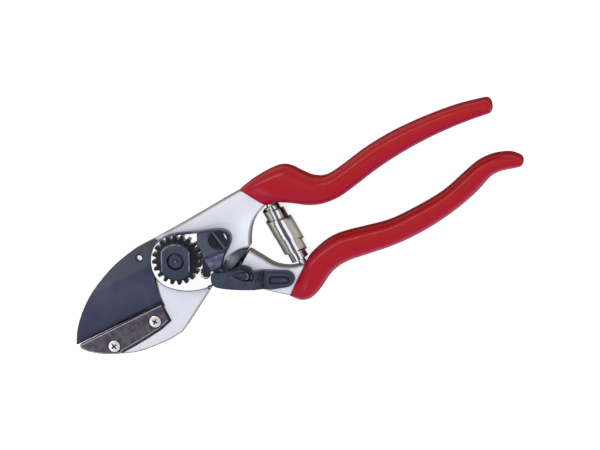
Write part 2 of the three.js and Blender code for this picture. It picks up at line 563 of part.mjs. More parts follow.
// ---------------------------------------------------------------- spring
// flat strip wound on a double cone, its largest coil in the middle
function voluteSpring() {
  const perTurn = 20;
  const steps = Math.round(SPRING_TURNS * perTurn) * 2;
  const positions = [];
  const ring = (i) => {
    const s = 2 * i / steps - 1;
    const out = Math.abs(s);
    const side = Math.sign(s) || 1;
    const turn = s * SPRING_TURNS * 2 * Math.PI;
    const r = SPRING_R + (SPRING_END_R - SPRING_R) * out;
    // edge nearer the middle crosses it within half a turn
    const half = 0.5 / SPRING_TURNS;
    const start = 0.45;
    const rest = SPRING_LENGTH / 2 - SPRING_END;
    const near = out < half
      ? -SPRING_MIDDLE / 2 + (SPRING_MIDDLE / 2 + start) * out / half
      : start + (rest - start) * (out - half) / (1 - half);
    // outer edge reaches the spring's end where its last turn starts
    const climb = Math.min(1, out / (1 - 1 / SPRING_TURNS));
    const far = SPRING_MIDDLE / 2 + (SPRING_LENGTH - SPRING_MIDDLE) / 2 * climb;
    return [[r - SPRING_STRIP / 2, near], [r + SPRING_STRIP / 2, near],
      [r + SPRING_STRIP / 2, far], [r - SPRING_STRIP / 2, far]]
      .map(([radius, along]) => [radius * Math.cos(turn), side * along,
        radius * Math.sin(turn)])
      .map((p, k, all) => (side < 0 ? all[[3, 2, 1, 0][k]] : p));
  };
  const quad = (a, b, c, d) => positions.push(...a, ...b, ...c, ...a, ...c, ...d);
  for (let i = 0; i < steps; i += 1) {
    const p = ring(i);
    const q = ring(i + 1);
    for (let k = 0; k < 4; k += 1) {
      const n = (k + 1) % 4;
      quad(p[k], p[n], q[n], q[k]);
    }
  }
  const first = ring(0);
  const end = ring(steps);
  quad(first[3], first[2], first[1], first[0]);
  quad(end[0], end[1], end[2], end[3]);
  const geometry = new THREE.BufferGeometry();
  geometry.setAttribute('position', new THREE.BufferAttribute(new Float32Array(positions), 3));
  return solid(alongSpring(geometry));
}

// ---------------------------------------------------------------- assembly
const FINISH = {
  aluminium: [0xd4d7de, 0.9, 0.45],
  grip: [0xb0242c, 0.0, 0.35],
  blade: [0x4c5060, 0.6, 0.4],
  steel: [0xb9bcc2, 0.95, 0.3],
  anvil: [0x7b7780, 0.8, 0.5],
  dark: [0x2f343b, 0.5, 0.5],
  plastic: [0x3c434d, 0.0, 0.5],
  rubber: [0x2a2b2e, 0.0, 0.8],
  bronze: [0xa67c45, 0.9, 0.4],
};

const group = new THREE.Group();
group.name = 'pruning_shears';

function add(name, finish, body) {
  const [color, metalness, roughness] = FINISH[finish];
  const mesh = new THREE.Mesh(geometryOf(body),
    new THREE.MeshStandardMaterial({ color, metalness, roughness }));
  mesh.name = name;
  group.add(mesh);
}

add('upper_handle', 'aluminium', upperHandle());
add('upper_grip', 'grip', without(sleeve(UP_GRIP_TOP, UP_GRIP_BOTTOM),
  springRod(SPRING_PIN_R + GAP, 8, SPRING_LENGTH / 2 + 6)));
add('anvil_plate', 'anvil', anvilPlate());
add('anvil_screw_front', 'steel', anvilScrew(ANVIL_SCREW_FRONT, 12));
add('anvil_screw_rear', 'steel', anvilScrew(ANVIL_SCREW_REAR, 40));
add('pivot_bush', 'bronze', pivotBush());
add('upper_spring_pin', 'steel', springPin(SPRING_LENGTH / 2 - 4.6, SPRING_LENGTH / 2 + 6.2));
add('lower_handle', 'aluminium', lowerHandle());
add('lower_grip', 'grip', without(sleeve(LOW_GRIP_TOP, LOW_GRIP_BOTTOM),
  springRod(SPRING_PIN_R + GAP, -SPRING_LENGTH / 2 - 6, -8)));
add('blade', 'blade', blade());
add('blade_dowel', 'steel', bladeDowel());
add('pivot_bolt', 'dark', pivotBolt());
add('adjusting_nut', 'dark', adjustingNut());
add('lock_segment', 'dark', lockSegment());
add('segment_screw', 'dark', segmentScrew());
add('bumper', 'rubber', bumper());
add('lower_spring_pin', 'steel', springPin(-SPRING_LENGTH / 2 - 6.2, -SPRING_LENGTH / 2 + 4.6));
add('catch_screw', 'dark', catchScrew());
add('catch_slide', 'plastic', catchSlide());
add('catch_thumb_pad', 'plastic', catchThumbPad());
add('catch_lock_pin', 'steel', catchLockPin());
add('volute_spring', 'steel', voluteSpring());

export default group;
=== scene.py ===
"""Anvil pruning shears, dressed: one operator for each piece or group of like pieces."""
import math

import bmesh
import bpy
from mathutils import Matrix, Vector


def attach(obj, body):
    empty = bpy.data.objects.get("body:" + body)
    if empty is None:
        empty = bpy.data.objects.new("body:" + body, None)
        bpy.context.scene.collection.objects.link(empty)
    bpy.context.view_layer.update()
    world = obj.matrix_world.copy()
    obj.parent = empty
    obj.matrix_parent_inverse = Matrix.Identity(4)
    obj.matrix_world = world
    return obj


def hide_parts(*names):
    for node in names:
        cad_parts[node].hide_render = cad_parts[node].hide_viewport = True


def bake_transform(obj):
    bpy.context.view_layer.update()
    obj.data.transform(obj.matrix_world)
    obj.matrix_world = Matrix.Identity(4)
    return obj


bl_info = {
    "name": "Anvil Pruning Shears",
    "version": (1, 0, 0),
    "blender": (4, 5, 0),
    "location": "3D View > Sidebar > Shears",
    "description": "Builds the visible pieces and finishes of a pair of anvil pruning shears",
    "category": "Object",
}

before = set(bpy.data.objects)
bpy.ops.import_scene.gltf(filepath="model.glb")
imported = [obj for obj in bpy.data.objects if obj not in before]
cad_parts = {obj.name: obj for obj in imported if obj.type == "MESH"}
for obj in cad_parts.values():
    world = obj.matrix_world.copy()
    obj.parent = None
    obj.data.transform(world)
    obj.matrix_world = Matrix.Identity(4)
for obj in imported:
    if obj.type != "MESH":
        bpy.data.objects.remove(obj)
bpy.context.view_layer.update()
MM = 0.001
FRONT = Vector((0, 0, 1))


# ------------------------------------------------------------------ colours and plain maths
def screen(red, green, blue):
    """Colour as a screen shows it, 0 to 255, in the linear values that shaders take."""
    def linear(value):
        value /= 255
        return value / 12.92 if value <= 0.04045 else ((value + 0.055) / 1.055) ** 2.4
    return linear(red), linear(green), linear(blue)


def curve_through(points, steps):
    """Smooth line through chosen points, as a list of (x, y)."""
    ends = [2 * Vector(points[0]) - Vector(points[1]), 2 * Vector(points[-1]) - Vector(points[-2])]
    knots = [ends[0]] + [Vector(p) for p in points] + [ends[1]]
    line = []
    for before, start, stop, after in zip(knots, knots[1:], knots[2:], knots[3:]):
        for step in range(steps):
            t = step / steps
            line.append(0.5 * (2 * start + (stop - before) * t
                               + (2 * before - 5 * start + 4 * stop - after) * t * t
                               + (3 * start - before - 3 * stop + after) * t ** 3))
    line.append(knots[-2])
    return [(p.x, p.y) for p in line]


def round_outline(points, steps=4):
    """Smooth closed line through chosen points."""
    wrapped = points[-2:] + points + points[:2]
    return curve_through(wrapped, steps)[2 * steps:-2 * steps][:-steps]


CATCH_AT = (9.5, -14.8)
CATCH_ANGLE = math.radians(-27)
CATCH_ALONG = Vector((math.cos(CATCH_ANGLE), math.sin(CATCH_ANGLE)))


def catch_point(along, across):
    """Place on the table of a point given along and across the catch."""
    cos, sin = math.cos(CATCH_ANGLE), math.sin(CATCH_ANGLE)
    return (CATCH_AT[0] + along * cos - across * sin, CATCH_AT[1] + along * sin + across * cos)


# ------------------------------------------------------------------ sizes and colours
def length(name, default, text):
    return bpy.props.FloatProperty(name=name, description=text, default=default * MM,
                                   min=0, precision=5, unit="LENGTH")


def colour(name, default, text):
    return bpy.props.FloatVectorProperty(name=name, description=text, subtype="COLOR", size=3,
                                         min=0, max=1, default=screen(*default))


class ShearsSizes(bpy.types.PropertyGroup):
    """Sizes of the rounded edges and small features."""

    handle_edge: length("Handle edge", 0.35, "Rounding of the forged handles' edges")
    blade_edge: length("Blade edge", 0.08, "Rounding of the blade's edges")
    nut_edge: length("Nut edge", 0.14, "Rounding of the adjusting nut's edges")
    # width of the painted highlight round the nut's boss
    boss_rim: length("Boss rim", 0.5, "Width of the rubbed rim of the nut's boss")
    # width of the painted shade along the head's border
    head_shade_border: length("Head border", 0.4, "Width of the oiled border of the head")
    # width of the painted shade along the segment's border
    segment_border: length("Segment border", 0.45, "Width of the dark border of the segment")
    catch_edge: length("Catch edge", 0.4, "Rounding of the catch's edges")
    bumper_squeeze: length("Bumper squeeze", 0.26, "How far the bumper fills its gap")
    bumper_tail: length("Bumper tail", 0.9, "How far its tail fills the gap round the hub")
    bumper_foot: length("Bumper foot", 0.55, "How far the bumper's foot grows to the lower handle")
    grip_front: length("Grip front", 5.6, "Half thickness of a sleeve at its front")
    grip_half: length("Grip half", 8.0, "Half thickness of a sleeve in the palm")
    strip: length("Spring strip", 0.55, "Thickness of the spring strip")


class ShearsColours(bpy.types.PropertyGroup):
    """Colours of the finishes."""

    aluminium: colour("Aluminium", (220, 222, 233), "Blasted face of the handles")
    # painted light on the handles beside the sleeves
    aluminium_lit: colour("Aluminium painted lighter", (240, 242, 254), "Handles beside the sleeves")
    # painted shade and reflection on the handles' side walls
    aluminium_wall_shade: colour("Aluminium wall", (94, 85, 72), "Side walls of the handles")
    machined: colour("Machined head", (254, 254, 255), "Turned face under the nut")
    # painted shade on the head's border, corners and side, and on the neck
    head_shade_border: colour("Head border", (42, 45, 62), "Painted shade on the border of the turned face")
    grip: colour("Grip", (173, 16, 27), "Dipped sleeve")
    # painted sheen on the lower side of the sleeve
    grip_sheen: colour("Grip bloom", (175, 16, 66), "Painted sheen on the lower side of the sleeve")
    # painted sheen behind the front of the sleeve
    grip_lip_sheen: colour("Grip lip", (178, 14, 60), "Painted sheen behind the sleeve's front")
    # painted shade on the sleeve's sides
    grip_side_shade: colour("Grip side", (150, 15, 22), "Side of the sleeve")
    grip_shade: colour("Grip shade", (100, 8, 18), "Sleeve where it turns away")
    blade: colour("Blade", (68, 73, 84), "Coated flat of the blade")
    blade_ground: colour("Blade grind", (57, 59, 87), "Ground slope of the blade")
    # painted dark reflection along the cutting edge, and painted shade on the blade's walls
    blade_rim: colour("Blade rim", (17, 17, 32), "Band along the cutting edge")
    anvil: colour("Anvil", (63, 59, 74), "Face of the anvil plate")
    # painted highlights along the edges of the anvil plate
    anvil_highlight: colour("Anvil edge", (176, 174, 178), "Bright lines of the anvil plate")
    # painted shade on the low ledge, the wall under the blade and the screws' cross recesses
    anvil_shade: colour("Anvil ledge", (34, 32, 42), "Low ledge round the anvil plate")
    steel: colour("Steel", (212, 210, 214), "Screws and pins")
    black: colour("Blackened steel", (12, 13, 22), "Nut's teeth and small screws")
    # painted shade where the black pieces stand up
    black_wall_shade: colour("Blackened wall", (14, 15, 26), "Black pieces where they stand up")
    black_face: colour("Blackened face", (53, 62, 83), "Turned faces of the black pieces")
    # painted highlight on edges of the black pieces
    black_glint: colour("Painted glint", (130, 134, 154), "Painted glints on edges of the black pieces")
    segment_face: colour("Segment face", (78, 85, 103), "Flat of the lock segment")
    # painted shade at the top of the segment's slope
    segment_band_shade: colour("Segment band", (48, 48, 78), "Band at the top of the segment's slope")
    # painted light on the segment's slope
    segment_slope: colour("Segment slope", (76, 77, 108), "Sloped part of the lock segment")
    # painted shade on the segment's tail and border
    segment_shade: colour("Segment tail", (24, 24, 46), "Tail and border of the lock segment")
    spring_border: colour("Spring border", (58, 16, 20), "Cut edges of the spring strip")
    spring_end: colour("Spring end", (54, 22, 26), "Shaded coils at both ends of the spring")
    catch: colour("Catch", (50, 57, 78), "Moulded catch")
    # painted shade where the catch stands up
    catch_wall_shade: colour("Catch wall", (20, 22, 34), "Catch where it stands up")
    # painted shade in the catch's recesses and on its ear
    catch_groove_shade: colour("Catch groove", (14, 16, 28), "Recesses of the catch")
    stud: colour("Guide stud", (42, 45, 62), "Head of the stud in the catch")
    # painted shade where the catch bends to the thumb pad
    catch_bend_shade: colour("Catch bend", (34, 28, 40), "Catch where it bends to the thumb pad")
    rubber: colour("Bumper", (70, 72, 88), "Rubber bumper")
    # painted highlight on the bumper
    rubber_highlight: colour("Bumper highlight", (196, 200, 214), "Bright place on the bumper")
    # painted shade where the bumper falls away
    rubber_fold_shade: colour("Bumper fold", (28, 26, 36), "Bumper where it falls away")
    bronze: colour("Bush", (168, 124, 70), "Pivot bush")


def sizes():
    return bpy.context.scene.shears_sizes


def colours():
    return bpy.context.scene.shears_colours


# ------------------------------------------------------------------ shader nodes
def put(tree, kind, *values, settings=None, **named):
    """New node, with its settings and with a value or a link for each input given."""
    made = tree.nodes.new(kind)
    for key, value in (settings or {}).items():
        setattr(made, key, value)
    given = list(zip(made.inputs, values))
    given += [(made.inputs[key.replace("_", " ")], value) for key, value in named.items()]
    for socket, value in given:
        if isinstance(value, bpy.types.NodeSocket):
            tree.links.new(value, socket)
        elif value is not None:
            socket.default_value = value
    return made


def maths(tree, operation, *values):
    return put(tree, "ShaderNodeMath", *values, settings={"operation": operation}).outputs[0]


def steps_between(tree, value, low, high):
    """0 below low, 1 above high, smooth between."""
    made = put(tree, "ShaderNodeMapRange", value, low, high,
               settings={"interpolation_type": "SMOOTHSTEP"})
    return made.outputs[0]


def mixed(tree, factor, first, second):
    """Colour between two colours."""
    made = put(tree, "ShaderNodeMix", settings={"data_type": "RGBA"})
    for index, value in ((0, factor), (6, first), (7, second)):
        if isinstance(value, bpy.types.NodeSocket):
            tree.links.new(value, made.inputs[index])
        else:
            made.inputs[index].default_value = value
    return made.outputs[2]


def rgba(three):
    return (*three, 1.0)


SOCKETS = {"value": "NodeSocketFloat", "colour": "NodeSocketColor", "vector": "NodeSocketVector"}


def effect(name, inputs, outputs, wire):
    """Node group of this name, made the first time it is asked for."""
    tree = bpy.data.node_groups.get(name)
    if tree:
        return tree
    tree = bpy.data.node_groups.new(name, "ShaderNodeTree")
    for label, kind, default in inputs:
        socket = tree.interface.new_socket(label, in_out="INPUT", socket_type=SOCKETS[kind])
        socket.default_value = default
    for label, kind in outputs:
        tree.interface.new_socket(label, in_out="OUTPUT", socket_type=SOCKETS[kind])
    entry = tree.nodes.new("NodeGroupInput")
    leave = tree.nodes.new("NodeGroupOutput")
    for label, socket in wire(tree, entry.outputs).items():
        tree.links.new(socket, leave.inputs[label])
    return tree


# where in a noise that runs from 0 to 1 the patches and the specks start and are full
PATCH_LIMITS, SPECK_LIMITS = (0.38, 0.66), (0.5, 0.8)


def wire_skin(tree, given):
    broad = put(tree, "ShaderNodeTexNoise", Vector=given["Place"], Scale=given["Patch scale"],
                Detail=3.0).outputs[0]
    fine = put(tree, "ShaderNodeTexNoise", Vector=given["Place"], Scale=given["Grain scale"],
               Detail=2.0).outputs[0]
    patch = steps_between(tree, broad, *PATCH_LIMITS)
    share = maths(tree, "MULTIPLY", patch, given["Patches"])
    tinted = mixed(tree, share, given["Colour"], given["Patch colour"])
    speck = maths(tree, "MULTIPLY", steps_between(tree, fine, *SPECK_LIMITS), given["Specks"])
    gloss = maths(tree, "ADD", given["Roughness"],
                  maths(tree, "MULTIPLY", maths(tree, "SUBTRACT", broad, 0.5), given["Gloss shift"]))
    return {"Colour": mixed(tree, speck, tinted, given["Speck colour"]),
            "Roughness": gloss, "Height": fine}


def skin_effect():
    """Cloudy patches, specks and grain that every finish has in its own measure."""
    return effect("Worn skin", [
        ("Place", "vector", (0, 0, 0)), ("Colour", "colour", (0.5, 0.5, 0.5, 1)),
        ("Patch colour", "colour", (0.4, 0.4, 0.4, 1)), ("Speck colour", "colour", (0, 0, 0, 1)),
        ("Patch scale", "value", 60.0), ("Grain scale", "value", 1500.0),
        ("Patches", "value", 0.3), ("Specks", "value", 0.1),
        ("Roughness", "value", 0.4), ("Gloss shift", "value", 0.1),
    ], [("Colour", "colour"), ("Roughness", "value"), ("Height", "value")], wire_skin)


def wire_wall(tree, given):
    normal = put(tree, "ShaderNodeNewGeometry").outputs["Normal"]
    upright = put(tree, "ShaderNodeSeparateXYZ", normal).outputs[2]
    flat = steps_between(tree, maths(tree, "ABSOLUTE", upright), given["From"], given["To"])
    return {"Colour": mixed(tree, flat, given["Wall"], given["Face"]), "Flat": flat}


def wall_shade_effect():
    """Painted shade: one colour on what lies flat and another, darker, on what stands up."""
    return effect("Face and wall shade", [
        ("Face", "colour", (1, 1, 1, 1)), ("Wall", "colour", (0, 0, 0, 1)),
        ("From", "value", 0.2), ("To", "value", 0.8),
    ], [("Colour", "colour"), ("Flat", "value")], wire_wall)


def wire_rings(tree, given):
    apart = put(tree, "ShaderNodeVectorMath", given["Place"], given["Centre"],
                settings={"operation": "SUBTRACT"}).outputs[0]
    flat = put(tree, "ShaderNodeVectorMath", apart, (1, 1, 0),
               settings={"operation": "MULTIPLY"}).outputs[0]
    radius = put(tree, "ShaderNodeVectorMath", flat, settings={"operation": "LENGTH"}).outputs[1]
    wave = maths(tree, "SINE", maths(tree, "MULTIPLY", radius, given["Fineness"]))
    return {"Height": maths(tree, "MULTIPLY_ADD", wave, 0.5, 0.5), "Radius": radius}


def rings_effect():
    """Turning marks round a centre."""
    return effect("Turning marks", [
        ("Place", "vector", (0, 0, 0)), ("Centre", "vector", (0, 0, 0)),
        ("Fineness", "value", 14000.0),
    ], [("Height", "value"), ("Radius", "value")], wire_rings)


class Finish:
    """Material under construction: its tree, its shader and where things are on the piece."""

    def __init__(self, name, **constant):
        self.material = bpy.data.materials.new(name)
        self.material.use_nodes = True
        self.tree = self.material.node_tree
        self.shader = self.tree.nodes["Principled BSDF"]
        self.place = put(self.tree, "ShaderNodeTexCoord").outputs["Object"]
        self.across = put(self.tree, "ShaderNodeSeparateXYZ", self.place).outputs
        for key, value in constant.items():
            self.shader.inputs[key.replace("_", " ")].default_value = value

    def group(self, tree, **named):
        return put(self.tree, "ShaderNodeGroup", settings={"node_tree": tree}, **named).outputs

    def feed(self, **named):
        for key, socket in named.items():
            self.tree.links.new(socket, self.shader.inputs[key.replace("_", " ")])

    def times(self, first, second):
        return maths(self.tree, "MULTIPLY", first, second)

    def vector(self, operation, first, second, output=0):
        """Result of vector maths; output 1 is its number."""
        return put(self.tree, "ShaderNodeVectorMath", first, second,
                   settings={"operation": operation}).outputs[output]

    def bump(self, height, depth, strength, under=None):
        """Relief of this depth in millimetres, on top of another relief if one is given."""
        made = put(self.tree, "ShaderNodeBump", Strength=strength, Distance=depth * MM,
                   Height=height)
        if under is not None:
            self.tree.links.new(under, made.inputs["Normal"])
        return made.outputs[0]

    def wear(self, base, patch, speck, depth=0.0, strength=0.0, **measures):
        """Feeds the shader a worn skin of this colour, and its grain as relief of some depth."""
        measures.setdefault("Place", self.place)
        skin = self.group(skin_effect(), Colour=base, Patch_colour=rgba(screen(*patch)),
                          Speck_colour=rgba(screen(*speck)), **measures)
        self.feed(Base_Color=skin["Colour"], Roughness=skin["Roughness"])
        if depth:
            self.feed(Normal=self.bump(skin["Height"], depth, strength))
        return skin


def once(make):
    """Runs a material's function the first time and gives the same material afterwards."""
    kept = {}

    def get():
        if make.__name__ not in kept:
            kept[make.__name__] = make()
        return kept[make.__name__]
    return get


# ------------------------------------------------------------------ finishes
UPHILL = Vector((0.454, 0.891, 0))      # across the closed shears, from the catch to the nut


def ramp_of(f, value, low, high):
    """0 to 1 between two lengths in millimetres."""
    return steps_between(f.tree, value, low * MM, high * MM)


def plain_finish(name, face, metallic, patch, speck, depth, strength, **measures):
    """Finish of one colour, worn by patches and specks."""
    f = Finish(name, Metallic=metallic, IOR=1.45)
    f.wear(rgba(face), patch, speck, depth, strength, **measures)
    return f.material


@once
def blasted_aluminium():
    c = colours()
    f = Finish("blasted_aluminium", IOR=1.45)
    # painted light: the face is lighter on the lower side, from the head to the sleeves
    lit_share = f.times(ramp_of(f, f.across[0], 0, 25), ramp_of(f, f.across[1], 9, -1))
    shade = f.group(wall_shade_effect(), Wall=rgba(c.aluminium_wall_shade),
                    Face=mixed(f.tree, lit_share, rgba(c.aluminium), rgba(c.aluminium_lit)),
                    From=0.5, To=0.93)
    f.wear(shade["Colour"], (208, 211, 224), (168, 170, 184), 0.06, 0.5,
           Patches=f.times(shade["Flat"], 0.35), Patch_scale=38.0, Grain_scale=2600.0,
           Specks=0.14, Roughness=0.55, Gloss_shift=0.25)
    f.feed(Metallic=f.times(shade["Flat"], 0.4))
    return f.material


@once
def machined_aluminium():
    f = Finish("machined_aluminium", Metallic=0.92, IOR=1.45)
    f.wear(rgba(colours().machined), (246, 247, 251), (222, 224, 232),
           Patch_scale=90.0, Grain_scale=1800.0, Patches=0.3, Specks=0.05,
           Roughness=0.13, Gloss_shift=0.08)
    rings = f.group(rings_effect(), Place=f.place, Fineness=16000.0)
    f.feed(Normal=f.bump(rings["Height"], 0.01, 0.35))
    return f.material


# painted shade on the head and the neck
@once
def head_shade_border():
    return plain_finish("head_shade_border", colours().head_shade_border, 0.3, (120, 124, 142), (40, 42, 54),
                        0.04, 0.4, Patch_scale=160.0, Grain_scale=1800.0, Patches=0.5,
                        Specks=0.2, Roughness=0.4, Gloss_shift=0.2)


def red_sleeve(name, lip_top, lip_low):
    """Finish of a sleeve whose front lip runs between two places."""
    c = colours()
    f = Finish(name, Metallic=0.0, IOR=1.18, Coat_Roughness=0.2, Coat_IOR=1.45)
    normal = put(f.tree, "ShaderNodeNewGeometry").outputs["Normal"]
    # painted sheen: pinker where the sleeve faces the low side
    low_side = f.vector("DOT_PRODUCT", normal, -UPHILL, 1)
    sheen = f.times(steps_between(f.tree, low_side, -0.06, 0.45), 0.85)
    red = mixed(f.tree, sheen, rgba(c.grip), rgba(c.grip_sheen))
    # painted sheen: the sleeve is paler behind its thin lip
    lip_top, lip_low = Vector((*lip_top, 0)) * MM, Vector((*lip_low, 0)) * MM
    inward = (lip_top - lip_low).cross(FRONT).normalized()
    behind = f.vector("DOT_PRODUCT", f.vector("SUBTRACT", f.place, lip_top), inward, 1)
    pale = f.times(ramp_of(f, behind, 13, 2), 0.55)
    shade = f.group(wall_shade_effect(), Face=mixed(f.tree, pale, red, rgba(c.grip_lip_sheen)),
                    Wall=rgba(c.grip_side_shade), From=0.1, To=0.55)
    # and painted shade darkens it where it turns away, later on the low side than on the high one
    upward = put(f.tree, "ShaderNodeSeparateXYZ", normal).outputs["Z"]
    round_side = maths(f.tree, "MULTIPLY_ADD", low_side, -0.21, upward)
    tone = mixed(f.tree, steps_between(f.tree, round_side, 0.27, 0.05), shade["Colour"],
                 rgba(c.grip_shade))
    skin = f.wear(tone, (172, 12, 20), (140, 12, 20), 0.04, 0.25, Patch_scale=22.0,
                  Grain_scale=900.0, Specks=0.12, Patches=f.times(shade["Flat"], 0.4),
                  Roughness=0.36, Gloss_shift=0.16)
    dull = f.times(maths(f.tree, "SUBTRACT", 1.0, shade["Flat"]), 0.6)
    f.feed(Roughness=maths(f.tree, "ADD", skin["Roughness"], dull),
           Coat_Weight=f.times(shade["Flat"], 0.22))
    return f.material


BLADE_HOLE = Vector((-16.3, 7.6))
BLADE_HOLE_RIM = (2.05, 1.75)           # from the hole's centre: where its dark rim starts and is full
GRIND_LINE = (3.4, 2.2)                 # across the blade: where the ground slope starts and is full
BAND_WIDENS, BAND_LINE = 0.022, -13.1   # the dark band's upper side: how it climbs, and its place


@once
def coated_blade():
    c = colours()
    f = Finish("coated_blade", Metallic=0.2, IOR=1.3)
    ground = ramp_of(f, f.across[1], *GRIND_LINE)
    base = mixed(f.tree, ground, rgba(c.blade), rgba(c.blade_ground))
    # painted dark reflection of the edge's facet: the band widens from the tip to the heel
    edge = maths(f.tree, "MULTIPLY_ADD", f.across[0], BAND_WIDENS, BAND_LINE * MM)
    band = ramp_of(f, maths(f.tree, "SUBTRACT", edge, f.across[1]), -0.2, 0.3)
    hole = f.group(rings_effect(), Place=f.place, Centre=(*(BLADE_HOLE * MM), 0))["Radius"]
    rim = maths(f.tree, "MAXIMUM", band, ramp_of(f, hole, *BLADE_HOLE_RIM))
    shade = f.group(wall_shade_effect(), Face=mixed(f.tree, rim, base, rgba(c.blade_rim)),
                    Wall=rgba(c.blade_rim), From=0.3, To=0.8)
    f.wear(shade["Colour"], (88, 90, 112), (104, 104, 116), 0.03, 0.3,
           Patch_scale=70.0, Grain_scale=3200.0, Patches=0.3, Specks=0.12,
           Roughness=0.42, Gloss_shift=0.2)
    return f.material


@once
def anvil_steel():
    return plain_finish("anvil_steel", colours().anvil, 0.6, (104, 100, 108), (40, 37, 44),
                        0.12, 0.5, Patch_scale=420.0, Grain_scale=1300.0, Patches=0.55,
                        Specks=0.6, Roughness=0.5, Gloss_shift=0.35)


@once
def anvil_highlight():
    return plain_finish("anvil_highlight", colours().anvil_highlight, 0.6, (140, 136, 142),
                        (110, 108, 112), 0.08, 0.4, Patch_scale=500.0, Grain_scale=1500.0,
                        Patches=0.5, Specks=0.3, Roughness=0.4, Gloss_shift=0.3)


@once
def anvil_shade():
    return plain_finish("anvil_shade", colours().anvil_shade, 0.5, (84, 80, 88), (30, 28, 34),
                        0.08, 0.4, Patch_scale=500.0, Grain_scale=1500.0, Patches=0.5,
                        Specks=0.3, Roughness=0.5, Gloss_shift=0.3)


@once
def bright_steel():
    return plain_finish("bright_steel", colours().steel, 0.85, (176, 172, 178), (120, 116, 122),
                        0.06, 0.35, Patch_scale=500.0, Grain_scale=1600.0, Patches=0.4,
                        Specks=0.3, Roughness=0.28, Gloss_shift=0.3)


@once
def bush_bronze():
    return plain_finish("bush_bronze", colours().bronze, 0.9, (140, 98, 56), (92, 66, 40),
                        0.03, 0.3, Roughness=0.35)


@once
def spring_border():
    return plain_finish("spring_border", colours().spring_border, 0.5, (90, 60, 58),
                        (30, 20, 20), 0.02, 0.3, Patch_scale=400.0, Patches=0.5, Roughness=0.4)


def black_finish(name, face, metallic=0.3, patch=(40, 40, 52), patch_scale=160.0, patches=0.35,
                 roughness=0.4, fineness=9000.0, marks=0.0, highlighted=None):
    """Finish of a black piece; marks is how deep its turning marks are, in millimetres."""
    f = Finish(name, Metallic=metallic, IOR=1.35)
    top = rgba(face)
    # painted light: the face is lighter toward the upper side
    if highlighted:
        up = f.vector("DOT_PRODUCT", f.place, UPHILL, 1)
        top = mixed(f.tree, ramp_of(f, up, -1, 7.5), top, rgba(screen(*highlighted)))
    shade = f.group(wall_shade_effect(), Face=top, Wall=rgba(colours().black_wall_shade), From=0.45, To=0.97)
    skin = f.wear(shade["Colour"], patch, (66, 68, 80), Patch_scale=patch_scale,
                  Grain_scale=2400.0, Patches=patches, Specks=0.2, Roughness=roughness,
                  Gloss_shift=0.3)
    rings = f.group(rings_effect(), Place=f.place, Fineness=fineness)
    relief = f.bump(skin["Height"], 0.04, 0.4)
    f.feed(Normal=f.bump(rings["Height"], marks, 0.5, relief))
    return f.material


@once
def black_steel():
    return black_finish("black_steel", colours().black, marks=0.01)


@once
def black_turned():
    return black_finish("black_turned", colours().black_face, marks=0.03, fineness=5200.0,
                        highlighted=(70, 73, 92))


@once
def black_gloss():
    return black_finish("black_gloss", colours().black, metallic=0.35, patch=(40, 44, 64),
                        patches=0.5, roughness=0.16)


@once
def black_glint():
    return black_finish("black_glint", colours().black_glint, metallic=0.7, patch=(60, 64, 80),
                        patch_scale=420.0, patches=0.7, roughness=0.3)


@once
def segment_steel():
    return black_finish("segment_steel", colours().segment_face)


@once
def segment_band_shade():
    return black_finish("segment_band_shade", colours().segment_band_shade, patch=(66, 66, 100),
                        patch_scale=300.0, patches=0.4)


@once
def segment_slope():
    return black_finish("segment_slope", colours().segment_slope, patch=(132, 134, 158),
                        patch_scale=330.0, patches=0.6)


@once
def segment_shade():
    return black_finish("segment_shade", colours().segment_shade, patch=(62, 62, 96),
                        patch_scale=300.0, patches=0.4)


@once
def catch_groove_shade():
    return black_finish("catch_groove_shade", colours().catch_groove_shade, metallic=0.0,
                        patch=(26, 28, 42), roughness=0.5)


@once
def stud_face():
    return black_finish("stud_face", colours().stud, patch=(58, 58, 80))


@once
def rubber_fold_shade():
    return black_finish("rubber_fold_shade", colours().rubber_fold_shade, metallic=0.0,
                        patch=(48, 46, 56), roughness=0.5)


# painted highlights and shade round the coils: share of the half turn from one side of the coils to
# the other, and the colour there
SPRING_LIGHT_AND_SHADE = ((0.0, (30, 29, 26)), (0.07, (56, 52, 46)), (0.10, (132, 127, 116)),
                  (0.16, (142, 138, 128)), (0.18, (190, 186, 176)), (0.30, (178, 174, 166)),
                  (0.33, (128, 126, 142)), (0.355, (246, 245, 249)), (0.41, (240, 240, 246)),
                  (0.425, (86, 86, 106)), (0.495, (44, 44, 60)), (0.515, (238, 238, 243)),
                  (0.555, (230, 230, 236)), (0.575, (84, 86, 92)), (0.62, (112, 114, 114)),
                  (0.64, (206, 207, 198)), (0.74, (190, 191, 181)), (0.785, (150, 151, 141)),
                  (0.8, (16, 16, 14)))
# along the spring from its middle: where the painted shade at its two ends starts and is darkest
SPRING_UPPER_END = (3.8, 6.2)
SPRING_LOWER_END = (-8.8, -10.6)


